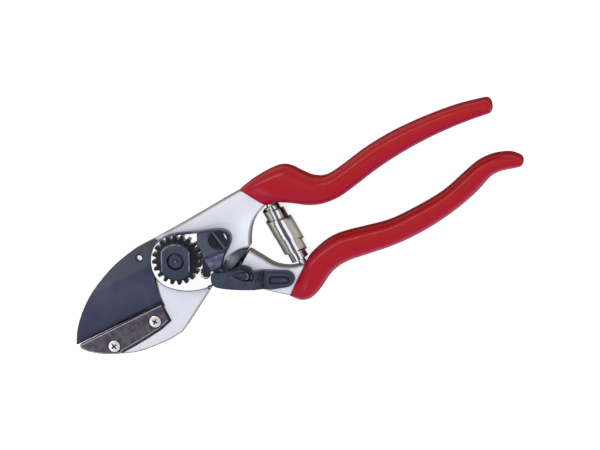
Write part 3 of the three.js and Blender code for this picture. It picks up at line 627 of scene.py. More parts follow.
@once
def spring_steel():
    c = colours()
    f = Finish("spring_steel", Metallic=0.55, IOR=1.45)
    side, along, height = put(f.tree, "ShaderNodeSeparateXYZ",
                              f.vector("SUBTRACT", f.place, SPRING_AT * MM)).outputs
    wander = put(f.tree, "ShaderNodeTexNoise", Vector=f.place, Scale=260.0, Detail=1.0).outputs[0]
    turn = f.times(maths(f.tree, "ARCTAN2", height, side), 1 / math.pi)
    turn = maths(f.tree, "MULTIPLY_ADD", maths(f.tree, "SUBTRACT", wander, 0.5), 0.05, turn)
    light_and_shade = put(f.tree, "ShaderNodeValToRGB", turn)
    marks = light_and_shade.color_ramp.elements
    for share, _ in SPRING_LIGHT_AND_SHADE[1:-1]:
        marks.new(share)
    for element, (share, tone) in zip(marks, SPRING_LIGHT_AND_SHADE):
        element.position, element.color = share, rgba(screen(*tone))
    ends = maths(f.tree, "MAXIMUM", ramp_of(f, along, *SPRING_UPPER_END),
                 ramp_of(f, along, *SPRING_LOWER_END))
    tinted = f.times(ends, steps_between(f.tree, turn, 0.31, 0.22))
    tone = mixed(f.tree, tinted, light_and_shade.outputs[0], rgba(c.spring_end))
    long_way = put(f.tree, "ShaderNodeMapping", f.place, None, None, (900.0, 60.0, 900.0)).outputs[0]
    f.wear(tone, (150, 148, 158), (206, 200, 190), 0.02, 0.3, Place=long_way, Patch_scale=1.0,
           Grain_scale=2.0, Patches=0.15, Specks=0.15, Roughness=0.3, Gloss_shift=0.25)
    return f.material


CATCH_BEND = ((18.6, 20.2), (24.0, 23.0))       # along the catch: where its bend, painted with shade, starts and ends


@once
def catch_plastic():
    c = colours()
    f = Finish("catch_plastic", Metallic=0.0, IOR=1.3)
    along = f.vector("DOT_PRODUCT", f.place, (*CATCH_ALONG, 0), 1)
    u = maths(f.tree, "SUBTRACT", along, Vector(CATCH_AT).dot(CATCH_ALONG) * MM)
    bend = f.times(*(ramp_of(f, u, *ends) for ends in CATCH_BEND))
    base = mixed(f.tree, bend, rgba(c.catch), rgba(c.catch_bend_shade))
    shade = f.group(wall_shade_effect(), Face=base, Wall=rgba(c.catch_wall_shade), From=0.3, To=0.86)
    f.wear(shade["Colour"], (66, 69, 90), (86, 92, 106), 0.05, 0.4, Patch_scale=330.0,
           Grain_scale=1800.0, Patches=0.6, Specks=0.3, Roughness=0.42, Gloss_shift=0.2)
    return f.material


HIGHLIGHT_SPOT, HIGHLIGHT_REACH = Vector((20.6, -11.5, 12.5)), 4.8    # painted highlight on the bumper


@once
def black_rubber():
    c = colours()
    f = Finish("black_rubber", Metallic=0.0, IOR=1.4)
    apart = f.vector("DISTANCE", f.place, HIGHLIGHT_SPOT * MM, 1)
    highlighted = f.times(ramp_of(f, apart, HIGHLIGHT_REACH, 0), 0.5)
    f.wear(mixed(f.tree, highlighted, rgba(c.rubber), rgba(c.rubber_highlight)), (56, 54, 64),
           (40, 38, 42), 0.06, 0.4, Patch_scale=220.0, Grain_scale=2200.0, Patches=0.4,
           Specks=0.2, Roughness=0.62, Gloss_shift=0.2)
    return f.material


# ------------------------------------------------------------------ mesh helpers
CLOSE = 0.002 * MM            # corners nearer to each other than this are one


def copy_of(node):
    """Mesh of a frame node, its doubles merged and its flat faces whole."""
    mesh = bmesh.new()
    mesh.from_mesh(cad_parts[node].data)
    bmesh.ops.remove_doubles(mesh, verts=mesh.verts, dist=CLOSE)
    bmesh.ops.dissolve_limit(mesh, angle_limit=math.radians(0.5), verts=mesh.verts,
                             edges=mesh.edges)
    return mesh


def outline(mesh, points, level):
    """Flat face through points in millimetres."""
    corners = [mesh.verts.new((x * MM, y * MM, level * MM)) for x, y in points]
    face = mesh.faces.new(corners)
    face.normal_update()
    if face.normal.z < 0:
        face.normal_flip()
    return face


def slab(points, back, front):
    """Solid of one outline between two levels."""
    mesh = bmesh.new()
    face = outline(mesh, points, back)
    grown = bmesh.ops.extrude_face_region(mesh, geom=[face])["geom"]
    tops = [g for g in grown if isinstance(g, bmesh.types.BMVert)]
    bmesh.ops.translate(mesh, verts=tops, vec=(0, 0, (front - back) * MM))
    bmesh.ops.recalc_face_normals(mesh, faces=mesh.faces)
    return mesh


def lies_flat(normal):
    return normal.z > 0.9


def leans_forward(normal):
    return normal.z > 0.5


def front_face(mesh):
    """Highest face that looks forward."""
    ahead = [f for f in mesh.faces if f.normal.z > 0.99]
    return max(ahead, key=lambda f: f.calc_center_median().z)


def inset(mesh, face, width, depth):
    """Rim round a face, which moves forward or back by depth; gives the rim's faces."""
    made = bmesh.ops.inset_region(mesh, faces=[face], thickness=width * MM, depth=depth * MM,
                                  use_even_offset=True)
    return made["faces"]


def turned(profile, centre=(0, 0), steps=48):
    """Solid of a profile, as (radius, height) from the axis back to the axis."""
    mesh = bmesh.new()
    corners = [mesh.verts.new((r * MM, 0, z * MM)) for r, z in profile]
    edges = [mesh.edges.new(pair) for pair in zip(corners, corners[1:])]
    bmesh.ops.spin(mesh, geom=corners + edges, cent=(0, 0, 0), axis=(0, 0, 1), steps=steps,
                   angle=2 * math.pi, use_merge=True)
    bmesh.ops.remove_doubles(mesh, verts=mesh.verts, dist=CLOSE)
    bmesh.ops.recalc_face_normals(mesh, faces=mesh.faces)
    bmesh.ops.translate(mesh, verts=mesh.verts, vec=(centre[0] * MM, centre[1] * MM, 0))
    return mesh


def bar(x, y, z, centre, angle=0.0, taper=1.0):
    """Box for cutting, between two values each way, narrower at its lower end by taper."""
    mesh = bmesh.new()
    bmesh.ops.create_cube(mesh, size=1.0)
    size = [hi - lo for lo, hi in (x, y, z)]
    middle = [(hi + lo) / 2 for lo, hi in (x, y, z)]
    bmesh.ops.scale(mesh, verts=mesh.verts, vec=[s * MM for s in size])
    low = [v for v in mesh.verts if v.co.z < 0]
    bmesh.ops.scale(mesh, verts=low, vec=(taper, taper, 1))
    bmesh.ops.translate(mesh, verts=mesh.verts, vec=[m * MM for m in middle])
    bmesh.ops.rotate(mesh, verts=mesh.verts, cent=(0, 0, 0),
                     matrix=Matrix.Rotation(math.radians(angle), 3, "Z"))
    bmesh.ops.translate(mesh, verts=mesh.verts, vec=(centre[0] * MM, centre[1] * MM, 0))
    return mesh


def carved(mesh, *cutters, operation="DIFFERENCE"):
    """The first mesh without what the others fill, or joined with them."""
    for cutter in cutters:
        pair = []
        for source in (mesh, cutter):
            data = bpy.data.meshes.new("carving")
            source.to_mesh(data)
            source.free()
            for _ in range(3):
                data.materials.append(None)
            pair.append(bpy.data.objects.new("carving", data))
            bpy.context.scene.collection.objects.link(pair[-1])
        cut = pair[0].modifiers.new("Cut", "BOOLEAN")
        cut.operation, cut.solver, cut.object = operation, "MANIFOLD", pair[1]
        graph = bpy.context.evaluated_depsgraph_get()
        mesh = bmesh.new()
        mesh.from_mesh(pair[0].evaluated_get(graph).to_mesh())
        for used in pair:
            data = used.data
            bpy.data.objects.remove(used)
            bpy.data.meshes.remove(data)
        bmesh.ops.remove_doubles(mesh, verts=mesh.verts, dist=CLOSE)
    return mesh


def split(mesh, place, across):
    """Cuts every face that a plane through a place in metres runs through."""
    bmesh.ops.bisect_plane(mesh, geom=mesh.verts[:] + mesh.edges[:] + mesh.faces[:],
                           plane_co=place, plane_no=across)


def border_of(mesh, faces, width):
    """Border of this width in metres inside a group of faces; gives the border's faces."""
    return bmesh.ops.inset_region(mesh, faces=faces, thickness=width, use_even_offset=True)["faces"]


def mark(mesh, index, test):
    """Gives a material's place in the piece's list to the faces that the test picks."""
    for face in mesh.faces:
        if test(face.calc_center_median() / MM, face.normal):
            face.material_index = index


def piece(mesh, name, body, materials, instead=(), edge=0.0, segments=3, angle=28.0):
    """Object of a finished mesh: its finishes, its body and the nodes it stands for.

    Edges sharper than an angle are rounded to a radius, or only shaded sharp without one."""
    data = bpy.data.meshes.new(name)
    mesh.normal_update()
    mesh.to_mesh(data)
    mesh.free()
    data.shade_smooth()
    if not edge:
        data.set_sharp_from_angle(angle=math.radians(angle))
    made = bpy.data.objects.new(name, data)
    bpy.context.scene.collection.objects.link(made)
    for material in materials:
        data.materials.append(material)
    if edge:
        rounding = made.modifiers.new("Edges", "BEVEL")
        rounding.width = edge
        rounding.segments = segments
        rounding.limit_method = "ANGLE"
        rounding.angle_limit = math.radians(angle)
        rounding.harden_normals = True
        rounding.miter_outer = "MITER_ARC"
    if instead:
        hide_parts(*instead)
    if body:
        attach(made, body)
    return made


def refinish(node, material):
    """New finish for a frame node that stays as it is."""
    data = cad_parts[node].data
    data.materials.clear()
    data.materials.append(material)


def loft(rings):
    """Closed skin over rings of the same number of points, the first and last ones filled."""
    mesh = bmesh.new()
    last = None
    for ring in rings:
        corners = [mesh.verts.new(p) for p in ring]
        edges = [mesh.edges.new((a, b)) for a, b in zip(corners, corners[1:] + corners[:1])]
        if last is None:
            bmesh.ops.contextual_create(mesh, geom=edges)
        else:
            bmesh.ops.bridge_loops(mesh, edges=last + edges)
        last = edges
    bmesh.ops.contextual_create(mesh, geom=last)
    bmesh.ops.recalc_face_normals(mesh, faces=mesh.faces)
    return mesh


# ------------------------------------------------------------------ handles
HEAD_FACE = 16.5              # level of the turned face, less a little
HEAD_EDGE = 16.0              # level above which its broken edge lies
HEAD_SIDE = 13.2              # level down to which the head's side is painted with shade
HEAD_CORNER = 11.4            # beyond it the head is painted with shade, between the segment and the catch
NECK_CORNER = 23.2            # before it the neck is painted with shade, between the bumper and the catch
UNSHADED_ENDS = (80, 150)          # degrees round the hub between which the border has no painted shade


def degrees_round(place):
    return math.degrees(math.atan2(place.y, place.x))


def darkened(place):
    """Whether a place on the head's border gets painted shade: above, and near the catch."""
    return 15 < degrees_round(place) < UNSHADED_ENDS[0] or -72 < degrees_round(place) < -40


def turned_face(centre, normal):
    return centre.z > HEAD_FACE and lies_flat(normal)


def head_corner(centre, normal):
    """Part of the head between the segment and the catch."""
    return centre.z > HEAD_FACE and centre.x > HEAD_CORNER and centre.y < -3


def head_edge(centre, normal):
    return centre.z > HEAD_EDGE and 0.4 < normal.z < 0.9


def darkened_side(centre, normal):
    """Side of the head, painted with shade but for the bare stretch round the hub."""
    bare = UNSHADED_ENDS[0] < degrees_round(centre) < UNSHADED_ENDS[1]
    return centre.z > HEAD_SIDE and abs(normal.z) < 0.4 and not bare


def neck_corner(centre, normal):
    """Part of the neck's face between the bumper and the catch."""
    on_face = centre.z > 12 and lies_flat(normal)
    return on_face and 14 < centre.x < NECK_CORNER and centre.y < -12


def neck_wall(centre, normal):
    """Slope of the neck below the bumper."""
    on_slope = 11 < centre.z < 12.49 and normal.y > 0.3
    return on_slope and 15 < centre.x < 29.4 and centre.y > -17


class BuildHandles(bpy.types.Operator):
    """Make both forged handles, with broken edges and the turned face under the nut"""

    bl_idname = "shears.handles"
    bl_label = "Forged Handles"

    def execute(self, context):
        for node, body in (("upper_handle", "fixed_arm"), ("lower_handle", "moving_arm")):
            mesh = copy_of(node)
            mesh.normal_update()
            if node == "lower_handle":
                self.finish_head(mesh)
            piece(mesh, node + "_forging", body,
                  [blasted_aluminium(), machined_aluminium(), head_shade_border()], [node],
                  edge=sizes().handle_edge)
        return {"FINISHED"}

    def finish_head(self, mesh):
        """Turned face, with painted shade on its border and in the dark corners round it."""
        borders = border_of(mesh, [front_face(mesh)], sizes().head_shade_border)
        mark(mesh, 1, turned_face)
        # painted shade on the border, above and near the catch
        for border in borders:
            if darkened(border.calc_center_median()):
                border.material_index = 2
        split(mesh, (HEAD_CORNER * MM, 0, 0), (1, 0, 0))
        # painted shade on the head's corner, its broken edge and its side
        for dark in (head_corner, head_edge, darkened_side):
            mark(mesh, 2, dark)
        split(mesh, (NECK_CORNER * MM, 0, 0), (1, 0, 0))
        # painted shade on the neck between the bumper and the catch, and on its slope under the bumper
        for dark in (neck_corner, neck_wall):
            mark(mesh, 2, dark)


# ------------------------------------------------------------------ grips
UPPER_TOP = [(38.4, 15.0), (46.0, 16.4), (53.5, 16.8), (59.0, 16.3), (62.8, 14.0),
             (66.3, 9.3), (69.6, 5.6), (75.0, 3.2), (84.0, 4.2), (96.0, 6.4), (110.0, 7.4),
             (125.0, 6.9), (140.0, 5.2), (152.4, 2.4)]
UPPER_LOW = [(45.6, 2.9), (49.7, 2.2), (53.8, 0.1), (57.0, -2.0), (60.4, -4.4),
             (64.5, -6.4), (69.0, -7.6), (76.0, -8.0), (85.0, -6.5), (97.0, -4.2),
             (111.0, -2.7), (125.0, -2.3), (140.0, -3.1), (150.9, -4.5)]
LOWER_TOP = [(48.9, -27.2), (51.9, -25.1), (55.3, -23.9), (60.0, -22.6), (65.5, -22.1),
             (71.5, -22.8), (80.0, -24.7), (91.0, -26.9), (104.0, -26.9), (117.0, -25.9),
             (127.5, -23.1), (136.0, -20.9), (142.5, -20.8), (147.6, -22.0), (151.6, -23.9),
             (154.1, -26.4)]
LOWER_LOW = [(35.7, -37.8), (39.4, -41.6), (44.2, -42.5), (50.0, -40.3), (57.0, -36.4),
             (65.0, -34.9), (76.0, -36.2), (89.0, -37.8), (104.0, -37.7), (119.0, -35.6),
             (130.5, -32.6), (138.6, -29.4), (143.0, -29.0), (146.6, -29.7), (149.4, -30.5),
             (151.8, -31.0)]
HANDLE_MIDDLE = 8.0           # level of both handles' middle
TANG_HALF = 4.85              # half thickness of the hollow in a sleeve
HOLLOW_SHARE = 0.94           # how far the hollow reaches into it
SLEEVE_END = ((0.8, 0.35), (1.35, 0.95), (1.7, 1.8), (1.85, 2.9))  # on from its end, and inward
RING_POINTS = 32


def sleeve_ring(top, low, inward, half, power):
    """Rounded section between two edge points, in metres; a power of 2 makes it an ellipse."""
    middle, across = (top + low) / 2, top - low
    reach = across.length / 2 - inward
    across.normalize()
    ring = []
    for i in range(RING_POINTS):
        turn = 2 * math.pi * (i + 0.5) / RING_POINTS
        cos, sin = math.cos(turn), math.sin(turn)
        wide = math.copysign(abs(cos) ** (2 / power), cos) * reach
        high = math.copysign(abs(sin) ** (2 / power), sin) * half
        ring.append((MM * (middle.x + across.x * wide), MM * (middle.y + across.y * wide),
                     MM * (HANDLE_MIDDLE + high)))
    return ring


def sleeve(top_points, low_points):
    """Dipped sleeve: a thin lip at its front, full in the palm, rounded at its end."""
    tops, lows = ([Vector(p) for p in curve_through(points, 4)]
                  for points in (top_points, low_points))
    last = len(tops) - 1
    front, full = sizes().grip_front / MM, sizes().grip_half / MM

    def half(share):
        return front + (full - front) * math.sin(min(1, share / 0.15) * math.pi / 2)

    # the hollow, from its end to the front
    rings = [sleeve_ring(tops[i], lows[i], 0.7 + 1.1 * min(1, i / last / 0.16), TANG_HALF, 14)
             for i in range(0, int(last * HOLLOW_SHARE), 2)]
    rings.reverse()
    # the lip, a quarter of a step ahead of the first points
    lip_top, lip_low = tops[0].lerp(tops[1], -0.25), lows[0].lerp(lows[1], -0.25)
    rings.append(sleeve_ring(lip_top, lip_low, 0.6, TANG_HALF + 0.05, 8))
    rings.append(sleeve_ring(lip_top, lip_low, 0.25, half(0) - 0.15, 4))
    # the outside, and its round end
    rings += [sleeve_ring(tops[i], lows[i], 0, half(i / last), 2.9 - 0.3 * min(1, 4 * i / last))
              for i in range(last + 1)]
    onward = (tops[-1] - tops[-2] + lows[-1] - lows[-2]).normalized()
    for ahead, inward in SLEEVE_END:
        rings.append(sleeve_ring(tops[-1] + onward * ahead, lows[-1] + onward * ahead,
                                 inward, full - inward, 2.6))
    return loft(rings)


class BuildGrips(bpy.types.Operator):
    """Make the two dipped sleeves of the handles"""

    bl_idname = "shears.grips"
    bl_label = "Grip Sleeves"

    def execute(self, context):
        for name, body, top, low in (("upper_grip", "fixed_arm", UPPER_TOP, UPPER_LOW),
                                     ("lower_grip", "moving_arm", LOWER_TOP, LOWER_LOW)):
            made = piece(sleeve(top, low), name + "_sleeve", body,
                         [red_sleeve(name + "_red", top[0], low[0])], [name], angle=80)
            smooth = made.modifiers.new("Round", "SUBSURF")
            smooth.levels = smooth.render_levels = 1
        return {"FINISHED"}


# ------------------------------------------------------------------ blade and anvil
BLADE_EDGE = -14.9            # below it lies nothing but the cutting edge
BLADE_REACH = 0.11            # and it comes down by this, until it all but touches the anvil


class BuildBlade(bpy.types.Operator):
    """Make the blade with its ground slope, and keep its dowel"""

    bl_idname = "shears.blade"
    bl_label = "Blade"

    def execute(self, context):
        mesh = copy_of("blade")
        for vert in mesh.verts:
            if vert.co.y < BLADE_EDGE * MM:
                vert.co.y -= BLADE_REACH * MM
        piece(mesh, "blade_ground", "moving_arm", [coated_blade()],
              ["blade"], edge=sizes().blade_edge, segments=2, angle=6)
        refinish("blade_dowel", bright_steel())
        return {"FINISHED"}


ANVIL_BORDER = [(-59.4, -15.3), (-16.95, -15.3), (-16.95, -23.5), (-22.5, -25.0),
                (-30.1, -25.9), (-37.7, -26.5), (-44.4, -26.8), (-46.8, -25.8), (-50.9, -24.0),
                (-54.1, -21.9), (-57.2, -19.5), (-59.4, -17.0)]
ANVIL_FACE = [(-59.1, -15.44), (-17.25, -15.44), (-17.85, -22.75), (-23.0, -24.1),
              (-30.3, -24.95), (-37.8, -25.5), (-43.3, -25.8), (-44.1, -26.55), (-46.8, -25.5),
              (-50.9, -23.7), (-54.1, -21.6), (-57.0, -19.2), (-59.1, -16.8)]
ANVIL_BACK, ANVIL_LEDGE, ANVIL_FRONT = 8.5, 13.15, 13.5
ANVIL_RIM, ANVIL_RIM_FALL = 0.3, 0.1    # width and fall of the plate's rim
ANVIL_RIM_END = -17.8         # the rim has no painted highlight beyond it
# node, place, and turn of the cross in degrees
ANVIL_SCREWS = (("anvil_screw_front", (-45.38, -22.6), 12), ("anvil_screw_rear", (-23.38, -20.8), 40))
# radius and level
SCREW_HOLE = [(0, 7), (1.9, 7), (1.9, 11.2), (3.1, 11.2), (3.1, 15), (0, 15)]
CROSS_LENGTH, CROSS_WIDTH, CROSS_DEPTH = 1.55, 0.36, 1.2    # half, half, and all of it


def cross_screw(centre, turn):
    """Screw with a low round head and a cross recess."""
    head = ANVIL_FRONT + 0.35
    mesh = turned([(0, 4.7), (1.6, 4.7), (1.6, 11.4), (2.75, 11.4), (2.8, 11.5), (2.8, head - 0.7),
                   (2.72, head - 0.4), (2.45, head - 0.15), (1.9, head - 0.03), (0, head + 0.05)],
                  centre, 40)
    cross = [bar((-CROSS_LENGTH, CROSS_LENGTH), (-CROSS_WIDTH, CROSS_WIDTH),
                 (head - CROSS_DEPTH, head + 0.6), centre, turn + quarter, 0.62)
             for quarter in (0, 90)]
    mesh = carved(mesh, *cross)
    # painted shade in the cross recess
    mark(mesh, 1, lambda at, normal: (at.xy - Vector(centre)).length < CROSS_LENGTH + 0.05
         and head - CROSS_DEPTH - 0.1 < at.z < head - 0.12)
    return mesh


def anvil_ledge(centre, normal):
    """Ledge round the plate, painted with shade."""
    return centre.z < ANVIL_FRONT - 0.2 and lies_flat(normal)


def anvil_wall(centre, normal):
    """Wall under the blade, painted with shade."""
    return normal.y > 0.9 and centre.z < 12


def anvil_lip(centre, normal):
    """Front edge of that wall, with a painted highlight."""
    return centre.y > -15.6 and centre.z > 13


class BuildAnvil(bpy.types.Operator):
    """Make the anvil plate with its low ledge, and its two cross-head screws"""

    bl_idname = "shears.anvil"
    bl_label = "Anvil and Screws"

    def execute(self, context):
        raised = slab(ANVIL_FACE, ANVIL_FRONT - 1, ANVIL_FRONT - ANVIL_RIM_FALL)
        # painted highlight on the raised face's rim
        for rim in inset(raised, front_face(raised), ANVIL_RIM, ANVIL_RIM_FALL):
            rim.material_index = int(rim.calc_center_median().x < ANVIL_RIM_END * MM)
        mesh = carved(slab(ANVIL_BORDER, ANVIL_BACK, ANVIL_LEDGE), raised, operation="UNION")
        mesh.normal_update()
        for index, part in ((2, anvil_ledge), (2, anvil_wall), (1, anvil_lip)):
            mark(mesh, index, part)
        holes = [turned(SCREW_HOLE, at, 40) for _, at, _ in ANVIL_SCREWS]
        piece(carved(mesh, *holes), "anvil_dressed", "fixed_arm",
              [anvil_steel(), anvil_highlight(), anvil_shade()], ["anvil_plate"],
              edge=0.06 * MM, segments=2)
        for node, at, turn in ANVIL_SCREWS:
            piece(cross_screw(at, turn), node + "_head", "fixed_arm",
                  [bright_steel(), anvil_shade()], [node], edge=0.06 * MM, segments=2, angle=35)
        return {"FINISHED"}


# ------------------------------------------------------------------ pivot
BOSS_TOP = 22.0               # above it only the boss of the nut is left
BOSS_FLAT = 5.7               # pivot to the rim along a flat
BOSS_HIGHLIGHT = 5.5             # the rim gets a painted highlight above it
BOLT_HEAD_TOP = 5.0           # the bolt's hexagon lies below it
# the bolt's front end, as radius and level: shank, rounded rim, and a dot in its middle
BOLT_END = [(0, 2.5), (3.4, 2.5), (3.4, 22.0), (2.9, 22.3), (2.88, 22.7), (2.7, 22.95), (2.4, 22.98),
            (1.6, 22.8), (1.1, 22.4), (0.5, 22.1), (0.45, 22.45), (0, 22.5)]


class BuildPivot(bpy.types.Operator):
    """Make the toothed adjusting nut and the bolt in it, and keep the bush"""

    bl_idname = "shears.pivot"
    bl_label = "Pivot"

    def execute(self, context):
        mesh = copy_of("adjusting_nut")
        mesh.normal_update()
        tops = [f for f in mesh.faces
                if f.normal.z > 0.99 and f.calc_center_median().z > BOSS_TOP * MM]
        rims = border_of(mesh, tops, sizes().boss_rim)
        mark(mesh, 1, lambda centre, normal: centre.z > BOSS_TOP and lies_flat(normal))
        # painted highlight on the rim along the flats and at the top
        for rim in rims:
            middle = rim.calc_center_median() / MM
            if abs(middle.xy.dot(CATCH_ALONG)) > BOSS_FLAT or middle.y > BOSS_HIGHLIGHT:
                rim.material_index = 2
        piece(mesh, "nut_toothed", "moving_arm",
              [black_steel(), black_turned(), black_glint()], ["adjusting_nut"],
              edge=sizes().nut_edge)
        mesh = copy_of("pivot_bolt")
        shank = [v for v in mesh.verts if v.co.z > BOLT_HEAD_TOP * MM]
        bmesh.ops.delete(mesh, geom=shank, context="VERTS")
        bmesh.ops.contextual_create(mesh, geom=[e for e in mesh.edges if e.is_boundary])
        piece(mesh, "bolt_hexagon", "moving_arm", [black_steel()],
              edge=0.3 * MM)
        mesh = turned(BOLT_END)
        # painted highlight on the dot in the middle
        mark(mesh, 1, lambda centre, normal: centre.z > 22.4 and centre.xy.length < 0.4)
        piece(mesh, "bolt_end", "moving_arm", [black_turned(), black_glint()],
              ["pivot_bolt"], angle=50)
        refinish("pivot_bush", bush_bronze())
        return {"FINISHED"}


FLANGE_FRONT = 19.1           # level of the segment's face
# start and end of a line on the segment's face, how steeply it falls beyond, and the most it falls
SEGMENT_SLOPES = (((10.0, -3.7), (22.0, -5.5), 0.10, 0.3),
                  ((10.0, -5.2), (21.0, -6.8), 0.16, 0.9))
FACE_DEPTH = 1.6              # what lies deeper than this under a falling face stays
TAIL_SIDE = 11.2              # before it lies the segment's tail
# outlines of the painted highlight, a bright crescent at the tail, and of the painted shade, a dark
# sheet round it
CRESCENT = [(7.5, -8.7), (6.75, -10.1), (6.5, -11.6), (7.1, -12.8), (8.5, -13.15), (7.75, -12.4),
            (7.2, -11.5), (7.3, -10.2)]
TAIL_SHADE = [(7.6, -8.4), (6.5, -10.0), (6.2, -11.6), (6.9, -13.1), (8.6, -13.4), (8.6, -12.6),
            (7.75, -12.2), (7.4, -11.5), (7.5, -10.2)]
SEGMENT_SCREW_AT = (21.1, 0.0)
SEGMENT_SCREW_TOP = 21.1
SEGMENT_SCREW_HEAD = [(0, 13.0), (1.8, 13.0), (1.8, FLANGE_FRONT), (4.5, FLANGE_FRONT), (4.6, 19.3),
                      (4.6, 20.2), (4.45, 20.6), (4.1, 21.0), (3.85, 21.1), (3.6, 21.05),
                      (3.3, 20.8), (0, 20.95)]
SLOT_ANGLE = -80
SLOT_SIDE, SLOT_RIDGE = 0.95, 0.6       # half width of the slot, and of the ridge along its floor


def beyond(place, start, stop):
    """How far a place lies to the right of a line, in the line's own units."""
    along = (Vector(stop) - Vector(start)).normalized()
    apart = Vector(place[:2]) - Vector(start)
    return apart.x * along.y - apart.y * along.x


def slope_down(mesh, start, stop, level, fall, most):
    """Splits a top face along a line and lets it fall away beyond the line, to its right."""
    across = (Vector((*stop, 0)) - Vector((*start, 0))).cross(FRONT).normalized()
    split(mesh, Vector((*start, level)) * MM, across)
    for vert in mesh.verts:
        past = beyond(vert.co / MM, start, stop)
        if past > 0 and vert.co.z > (level - FACE_DEPTH) * MM:
            vert.co.z -= min(past * fall, most) * MM


class BuildLock(bpy.types.Operator):
    """Make the toothed lock segment with its slope, and its slotted screw"""

    bl_idname = "shears.lock"
    bl_label = "Lock Segment"

    def execute(self, context):
        mesh = copy_of("lock_segment")
        for start, stop, fall, most in SEGMENT_SLOPES:
            slope_down(mesh, start, stop, FLANGE_FRONT, fall, most)
        first, second = (slope[:2] for slope in SEGMENT_SLOPES)
        split(mesh, (TAIL_SIDE * MM, 0, 0), (1, 0, 0))
        mesh.normal_update()
        borders = border_of(mesh, [f for f in mesh.faces if leans_forward(f.normal)],
                            sizes().segment_border)
        mesh.normal_update()
        # painted shade on the band at the top of the slope and on the tail, painted light on the slope
        mark(mesh, 1, lambda centre, normal: leans_forward(normal) and beyond(centre, *first) > 0)
        mark(mesh, 3, lambda centre, normal: leans_forward(normal) and beyond(centre, *second) > 0)
        mark(mesh, 2, lambda centre, normal: leans_forward(normal) and centre.x < TAIL_SIDE
             and centre.y < -6)
        # painted shade on the border
        for border in borders:
            border.material_index = 2
        piece(mesh, "segment_sloped", "moving_arm",
              [segment_steel(), segment_band_shade(), segment_shade(), segment_slope()],
              ["lock_segment"], edge=0.1 * MM, segments=2)
        lowest = FLANGE_FRONT - sum(slope[3] for slope in SEGMENT_SLOPES)
        # a dark sheet under the crescent: painted shade round the tail
        piece(slab(round_outline(TAIL_SHADE), lowest - 0.9, lowest - 0.2), "segment_tail_shade",
              "moving_arm", [segment_shade()], edge=0.03 * MM, segments=1)
        # a bright sheet: painted highlight on the tail's edge
        piece(slab(round_outline(CRESCENT), lowest - 0.4, lowest + 0.05), "segment_tail_glint",
              "moving_arm", [bright_steel()], edge=0.03 * MM, segments=1)
        top, centre = SEGMENT_SCREW_TOP, SEGMENT_SCREW_AT
        slots = [bar((-6, 6), across, levels, centre, SLOT_ANGLE)
                 for across, levels in (((-SLOT_SIDE, SLOT_SIDE), (top - 0.9, top + 1.0)),
                                        ((-SLOT_SIDE, -SLOT_RIDGE), (top - 1.5, top)),
                                        ((SLOT_RIDGE, SLOT_SIDE), (top - 1.5, top)))]
        head = carved(turned(SEGMENT_SCREW_HEAD, centre, 56), *slots)
        head.normal_update()
        # painted light: the slot's floor is lighter than the head
        mark(head, 1, lambda place, normal: top - 1.0 < place.z < top - 0.8 and lies_flat(normal))
        # one glint on the rim
        mark(head, 2, lambda place, normal: place.z > top - 0.2 and place.x > centre[0] + 3.4
             and abs(place.y - centre[1]) < 1.4)
        piece(head, "segment_screw_head", "moving_arm",
              [black_gloss(), segment_steel(), bright_steel()], ["segment_screw"],
              edge=0.1 * MM, segments=2, angle=35)
        return {"FINISHED"}


# ------------------------------------------------------------------ catch
# outlines, along and across the catch
RECESS = [(9.7, 2.6), (10.6, 1.7), (12.6, 0.8), (14.6, 0.2), (16.8, 0.0), (18.7, 0.4), (19.35, 1.9),
          (19.2, 3.4), (18.3, 4.35), (15.8, 4.65), (12.2, 3.95), (10.4, 3.4)]
LENS = [(9.95, 2.75), (10.9, 2.15), (12.9, 1.45), (14.9, 1.0), (16.2, 0.95), (16.8, 1.7),
        (16.75, 2.9), (16.0, 3.8), (14.5, 4.1), (12.4, 3.7), (10.7, 3.2)]
EAR_FROM = 5.0                # across the catch; beyond it the ear is painted with shade
EAR_GROOVE = [(12.8, 5.6), (14.4, 4.95), (16.0, 4.75), (17.4, 4.2), (17.5, 4.7), (16.2, 5.3),
              (14.6, 5.6), (13.2, 6.1)]
PAD_BORDER = [(24.2, -3.2), (26.0, -3.5), (31.0, -2.7), (34.0, -2.1), (35.5, -0.6), (35.6, 0.8),
              (34.8, 2.3), (32.8, 3.2), (29.0, 3.4), (25.6, 3.4), (24.0, 2.2), (23.6, 0.0)]
PAD_TRACK = [(25.2, 1.4), (27.6, 2.0), (31.0, 2.0), (33.9, 1.7), (34.5, 0.4), (33.9, -1.1),
             (30.6, -1.6), (27.4, -1.7), (25.2, -1.3), (24.6, 0.0)]
PAD_ISLAND = [(26.4, 0.8), (28.0, 1.1), (31.0, 1.1), (33.0, 0.9), (33.6, 0.3), (33.1, -0.5),
              (30.6, -0.9), (27.6, -0.9), (26.2, -0.6), (25.8, 0.1)]
# levels
RECESS_FLOOR, EAR_FLOOR, OVER_CATCH = 19.6, 20.0, 22
PAD_BACK, TRACK_FLOOR, PAD_FRONT, OVER_PAD = 16.2, 16.75, 17.35, 18
LENS_BACK, LENS_FRONT = 19.9, 20.7
LENS_RIM, LENS_RIM_RISE = 0.4, 0.1
STUD_AT = catch_point(14.6, 1.6)
STUD_SHANK = [(0, 13.0), (1.3, 13.0), (1.3, 20.2), (0, 20.2)]
CRESCENT_FROM = Vector(catch_point(15.7, 0)).dot(CATCH_ALONG) * MM     # painted highlight on the rim beyond it


def catch_slab(points, back, front):
    """Solid of a smooth closed outline in the catch's own axes."""
    return slab([catch_point(*p) for p in round_outline(points)], back, front)


